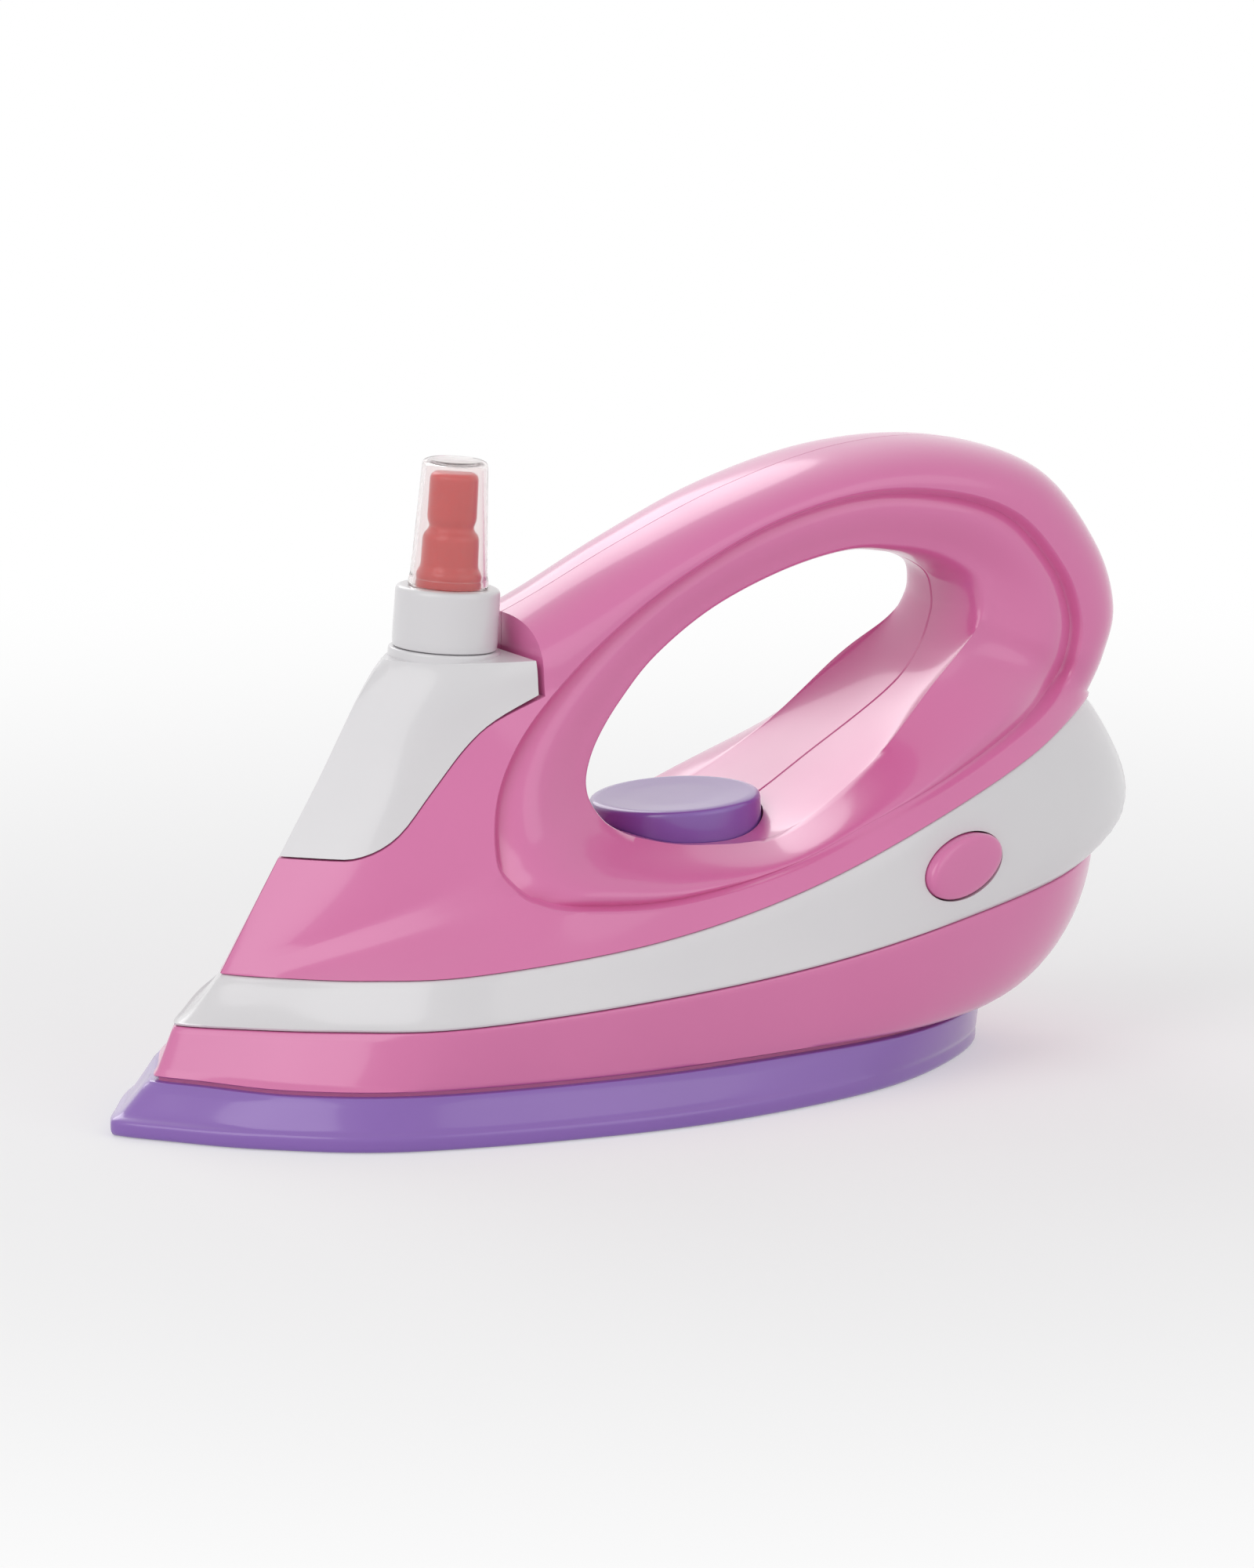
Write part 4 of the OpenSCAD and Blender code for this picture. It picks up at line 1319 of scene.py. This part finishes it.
@dataclass
class Dial:
    """Purple dial on the deck under the handle."""

    lines: Lines
    x_share: float = 0.564
    z_share: float = 0.388
    tilt: float = 3.0
    d: float = 30.8
    height: float = 7.0
    lift: float = 0.3
    stem_d: float = 7.0
    deck: float = 5.0
    dish: float = 0.35
    dish_edge: float = 0.25
    dish_share: float = 0.55
    rim_width: float = 1.6
    rim_drop: float = 0.3
    draft: float = 0.1
    seat_gap: float = 0.3
    seat_room: float = 12.0

    def place(self) -> Matrix:
        """The dial's frame, on its seat."""
        spot = (self.lines.along(self.x_share), 0, self.z_share * self.lines.height)
        return Matrix.Translation(spot) @ Matrix.Rotation(-math.radians(self.tilt), 4, "Y")

    def seat(self) -> bmesh.types.BMesh:
        """The cutter of the seat in the deck and of the room over it."""
        wide, high = self.d + 2 * self.seat_gap, self.height + self.seat_room
        return drums(wide, 0, high, [self.place()], CUTTER_FACETS)

    def build(self) -> None:
        """Spins the dial with a soft edge and a shallow dished top and dresses it."""
        r, h, stem, end = self.d / 2, self.height, self.stem_d / 2, -self.deck - self.lift
        bm = turned([
            (0, h - self.dish, 0), (r * self.dish_share, h - self.dish_edge, 1.0),
            (r - self.rim_width, h, 0.6), (r - self.draft, h - self.rim_drop, 0.9), (r, self.lift, 0.4),
            (stem, self.lift, 0), (stem, end, 0), (0, end, 0),
        ], self.place())
        dress(to_object(bm, "deck_dial"), PURPLE, "dial", "dial_knob", Crisp.TURNED)


@dataclass
class BodyHalf:
    """One pink half of the body and handle."""

    upper: UpperBody
    tank: Tank
    dial: Dial
    side: Side
    screw_places: Table = ((0.438, 0.665), (0.888, 0.724), (0.72, 0.9), (0.27, 0.34))
    seat_y: float = 5.0
    sink_d: float = 6.2
    sink_reach: float = 60.0
    pocket_rise: float = 5.0
    bore_rise: float = 12.0

    def sinks(self) -> bmesh.types.BMesh:
        """Makes the cutter of the screws' sinks, from the far side.

        Returns:
            The cutter.
        """
        lines = self.upper.lines
        aside = Matrix.Rotation(math.pi / 2, 4, "X")
        spots = [
            Matrix.Translation((lines.along(x), self.seat_y, z * lines.height)) @ aside
            for x, z in self.screw_places
        ]
        return drums(self.sink_d, -self.sink_reach, 0, spots, SINK_FACETS)

    def build(self) -> None:
        """Lofts the half, cuts the tank's pocket, the sump's bore and the dial's seat and dresses it."""
        lines, tank, side = self.upper.lines, self.tank, self.side.label
        bm = self.upper.left_side(-lines.seam / 2)
        if self.side is Side.RIGHT:
            bmesh.ops.scale(bm, vec=(1, -1, 1), verts=bm.verts)
            bmesh.ops.recalc_face_normals(bm, faces=bm.faces)
        piece = to_object(bm, f"{side}_shell")
        cutters = [
            tank.block(tank.clearance, tank.rear_gap, lines.height + self.pocket_rise),
            tank.bore(self.bore_rise),
            self.dial.seat(),
        ]
        if self.side is Side.RIGHT:
            cutters.append(self.sinks())
        for cutter in cutters:
            carve(piece, cutter, Cut.REMOVE)
        dress(piece, PINK, "body", f"{side}_body_half", Crisp.CUT)


# Spray pump


@dataclass
class SprayPump:
    """Screw collar, push head and clear cap on the tank's neck; heights are over the collar's seat."""

    place: Matrix
    collar_d: float = 18.8
    collar_height: float = 11.0
    collar_foot: float = 1.6
    collar_draft: float = 0.12
    foot_inset: float = 0.15
    seat_gap: float = 0.15
    thread_r: float = 8.2
    web_z: float = 5.4
    mouth_d: float = 12.2
    well: float = 6.45
    stem_hole_r: float = 2.1
    foot_d: float = 11.6
    foot_z: float = 10.85
    foot_height: float = 2.6
    head_height: float = 20.5
    head_shoulder: Shares = (5.1, 3.6)
    head_waist: Table = ((5.0, 0.45, 0.8), (3.8, 0.52, 0.7), (4.4, 0.59, 0.8))
    head_top_r: float = 4.3
    head_crown: float = 0.05
    head_facets: int = 96
    socket_r: float = 1.85
    socket_depth: float = 9.0
    cap_d: float = 14.2
    cap_top_d: float = 11.6
    cap_height: float = 22.4
    cap_wall: float = 0.8
    bead: float = 0.25
    bead_span: Shares = (1.2, 1.8)

    def build(self) -> None:
        """Builds and dresses the three pieces."""
        dress(to_object(self.collar(), "screw_collar"), WHITE, "tank", "pump_collar", Crisp.TURNED)
        dress(to_object(self.head(), "push_head"), RED, "spray_head", "spray_actuator", Crisp.TURNED)
        dress(to_object(self.cap(), "clear_cap_shell"), CLEAR, "cap", "spray_cap", Crisp.TURNED)

    def collar(self) -> bmesh.types.BMesh:
        """Spins the collar with its well.

        Returns:
            The closed shape.
        """
        r, mouth, high, low = self.collar_d / 2, self.mouth_d / 2, self.collar_height, self.seat_gap
        return turned([
            (self.thread_r, self.web_z, 0), (self.thread_r, low, 0.2), (r - self.foot_inset, low, 0.3),
            (r, self.collar_foot, 0.4), (r - self.collar_draft, high, 1.1), (mouth, high, 0.3),
            (mouth, self.well, 0.2), (self.stem_hole_r, self.well, 0), (self.stem_hole_r, self.web_z, 0),
            (self.thread_r, self.web_z, 0),
        ], self.place)

    def head(self) -> bmesh.types.BMesh:
        """Spins the push head with its waist and the stem's socket.

        Returns:
            The closed shape.
        """
        z, h, foot, socket = self.foot_z, self.head_height, self.foot_d / 2, self.socket_r
        shoulder_r, shoulder_z = self.head_shoulder
        return turned([
            (0, z + self.socket_depth, 0), (socket, z + self.socket_depth, 0), (socket, z, 0),
            (foot, z, 0.3), (foot, z + self.foot_height, 0.8), (shoulder_r, z + shoulder_z, 0.8),
            *((r, z + share * h, corner) for r, share, corner in self.head_waist),
            (self.head_top_r, z + h, 1.4), (0, z + h + self.head_crown, 0),
        ], self.place, self.head_facets)

    def cap(self) -> bmesh.types.BMesh:
        """Spins the cap as a closed wall with a bead at its mouth.

        Returns:
            The closed shape.
        """
        low = self.collar_height + self.seat_gap
        high = low + self.cap_height
        mouth, top, wall = self.cap_d / 2, self.cap_top_d / 2, self.cap_wall
        start, end = self.bead_span
        return turned([
            (0, high, 0), (top, high, 1.2), (mouth - self.bead, low + end, 0.5), (mouth, low + start, 0.3),
            (mouth, low, 0.2), (mouth - wall, low, 0.2), (top - wall, high - wall, 0.7),
            (0, high - wall, 0),
        ], self.place)


# CAD nodes that keep their shape


@dataclass
class InnerParts:
    """Pieces inside the iron that stay as they are and get a finish."""

    finishes: tuple[tuple[Finish, tuple[str, ...]], ...] = (
        (SEAL, ("neck_gasket",)),
        (NATURAL, ("pump_housing", "dip_tube", "pump_stem")),
        (SPRING, ("check_ball",)),
        (RED, ("nozzle_insert",)),
        (ZINC, ("dial_washer", "dial_screw", "sole_screws", "post_screws", "body_screws")),
    )

    def build(self) -> None:
        """Gives each node its finish."""
        for finish, nodes in self.finishes:
            for node in nodes:
                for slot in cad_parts[node].material_slots:
                    slot.material = finish.material()
                log.info("%s: %s", node, finish.name)


@dataclass
class CoilSpring:
    """A coil that keeps its CAD shape."""

    node: str
    joint: str
    body: str

    def build(self) -> None:
        """Copies the coil and dresses it."""
        bm = bmesh.new()
        bm.from_mesh(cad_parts[self.node].data)
        bmesh.ops.scale(bm, vec=(1 / MM, 1 / MM, 1 / MM), verts=bm.verts)
        settle(bm, None, FINE_MERGE)
        piece = dress(to_object(bm, f"{self.node}_coil"), SPRING, self.body, self.node, Crisp.COIL)
        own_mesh(piece)


# Studio


@dataclass(frozen=True)
class Lamp:
    """A soft round lamp; its place and width are in metres and its power in watts."""

    name: str
    spot: Triple
    width: float
    power: float

    def build(self, target: Triple) -> None:
        """Hangs the lamp up.

        Args:
            target: The point that it faces.
        """
        data = bpy.data.lights.new(self.name, "AREA")
        data.shape = "DISK"
        data.size = self.width
        data.energy = self.power
        lamp = bpy.data.objects.new(self.name, data)
        lamp.location = self.spot
        lamp.rotation_euler = (Vector(target) - Vector(self.spot)).to_track_quat("-Z", "Y").to_euler()
        bpy.context.scene.collection.objects.link(lamp)


@dataclass
class Studio:
    """Pale floor, soft light and the camera at the photograph's angle.

    The camera and the lamps are placed in metres, the floor in millimetres. The floor goes over into white
    between the two distances of its fade.
    """

    azimuth: float = -30.0
    elevation: float = 11.3
    distance: float = 2.7
    target: Triple = (0.0014, 0.0, 0.0525)
    frame_height: float = 0.279
    sensor: float = 36.0
    far: float = 100.0
    white: Shares = (1.0, 1.0, 1.0, 1.0)
    world_level: float = 0.52
    floor_size: float = 30000.0
    floor_drop: float = 0.1
    floor_colours: tuple[Triple, Triple] = ((0.9, 0.9, 0.91), (0.93, 0.93, 0.935))
    floor_marks: Shares = (6.0, 2.0)
    floor_roughness: float = 0.8
    fade_span: Shares = (0.12, 0.5)
    fade_start: float = 0.42
    lamps: tuple[Lamp, ...] = (
        Lamp("key", (-1.85, -0.5, 1.6), 2.0, 15.0),
        Lamp("fill", (0.9, -2.0, 1.2), 2.0, 7.0),
        Lamp("rim", (0.25, 1.9, 1.25), 1.3, 7.5),
    )

    def build(self) -> None:
        """Sets up the floor, the world, the lamps and the camera."""
        bpy.context.scene.view_settings.view_transform = "Standard"
        self.build_floor()
        self.build_world()
        for lamp in self.lamps:
            lamp.build(self.target)
        self.build_camera()

    def build_floor(self) -> None:
        """Adds the pale floor, a hair below the ironing face."""
        bm = bmesh.new()
        under = Matrix.Translation((0, 0, -self.floor_drop))
        bmesh.ops.create_grid(bm, x_segments=2, y_segments=2, size=self.floor_size, matrix=under)
        floor = to_object(bm, "floor")
        floor.data.materials.append(self.floor_material())

    def floor_material(self) -> bpy.types.Material:
        """Builds the floor's finish, which keeps the shadow and is seen as white further out.

        Returns:
            The material.
        """
        material = bpy.data.materials.new("pale_floor")
        kit = NodeKit(material)
        shader = kit.nodes["Principled BSDF"]
        tint = kit.tint(kit.noise(*self.floor_marks), *self.floor_colours)
        kit.fill(shader, {"Roughness": self.floor_roughness}, {"Base Color": tint})
        away = kit.add("ShaderNodeVectorMath", fed={0: kit.place})
        away.operation = "LENGTH"
        fade = kit.remap(away.outputs["Value"], self.fade_span, self.fade_start, 1.0)
        share = kit.joined("MULTIPLY", fade, kit.seen_rays())
        white = kit.add("ShaderNodeEmission", {"Color": self.white, "Strength": 1.0})
        kit.show(share, shader.outputs["BSDF"], white.outputs["Emission"], "Material Output")
        return material

    def build_world(self) -> None:
        """Sets a soft world that the camera, gloss and clear plastic see as white."""
        world = bpy.data.worlds.new("studio")
        bpy.context.scene.world = world
        kit = NodeKit(world)
        light = kit.nodes["Background"]
        kit.fill(light, {"Color": self.white, "Strength": self.world_level}, {})
        seen = kit.add("ShaderNodeBackground", {"Color": self.white, "Strength": 1.0})
        kit.show(kit.seen_rays(), light.outputs[0], seen.outputs[0], "World Output")

    def build_camera(self) -> None:
        """Adds the camera at the photograph's viewing angle."""
        a, e = math.radians(self.azimuth), math.radians(self.elevation)
        back = Vector((math.sin(a) * math.cos(e), -math.cos(a) * math.cos(e), math.sin(e)))
        data = bpy.data.cameras.new("camera")
        data.sensor_width = self.sensor
        data.lens = self.sensor * self.distance / self.frame_height
        data.clip_end = self.far
        camera = bpy.data.objects.new("camera", data)
        camera.location = Vector(self.target) + back * self.distance
        camera.rotation_euler = (-back).to_track_quat("-Z", "Y").to_euler()
        bpy.context.scene.collection.objects.link(camera)
        bpy.context.scene.camera = camera


def main() -> None:
    """Builds the studio, then the iron's pieces in order."""
    Studio().build()
    lines = Lines()
    upper = UpperBody(lines)
    tank = Tank(upper)
    dial = Dial(lines)
    buttons = tuple(SideButton(lines, side) for side in Side)
    halves = [BodyHalf(upper, tank, dial, side) for side in Side]
    springs = [CoilSpring("pump_spring", "spray_press", "tank")]
    for side in Side:
        springs.append(CoilSpring(f"{side.label}_button_spring", f"{side.label}_button_press", "body"))
    belts = [Sole(lines), Skirt(lines), Band(lines, buttons)]
    for part in (*belts, *buttons, *halves, tank, dial, SprayPump(tank.place()), InnerParts(), *springs):
        part.build()


if __name__ == "__main__":
    main()
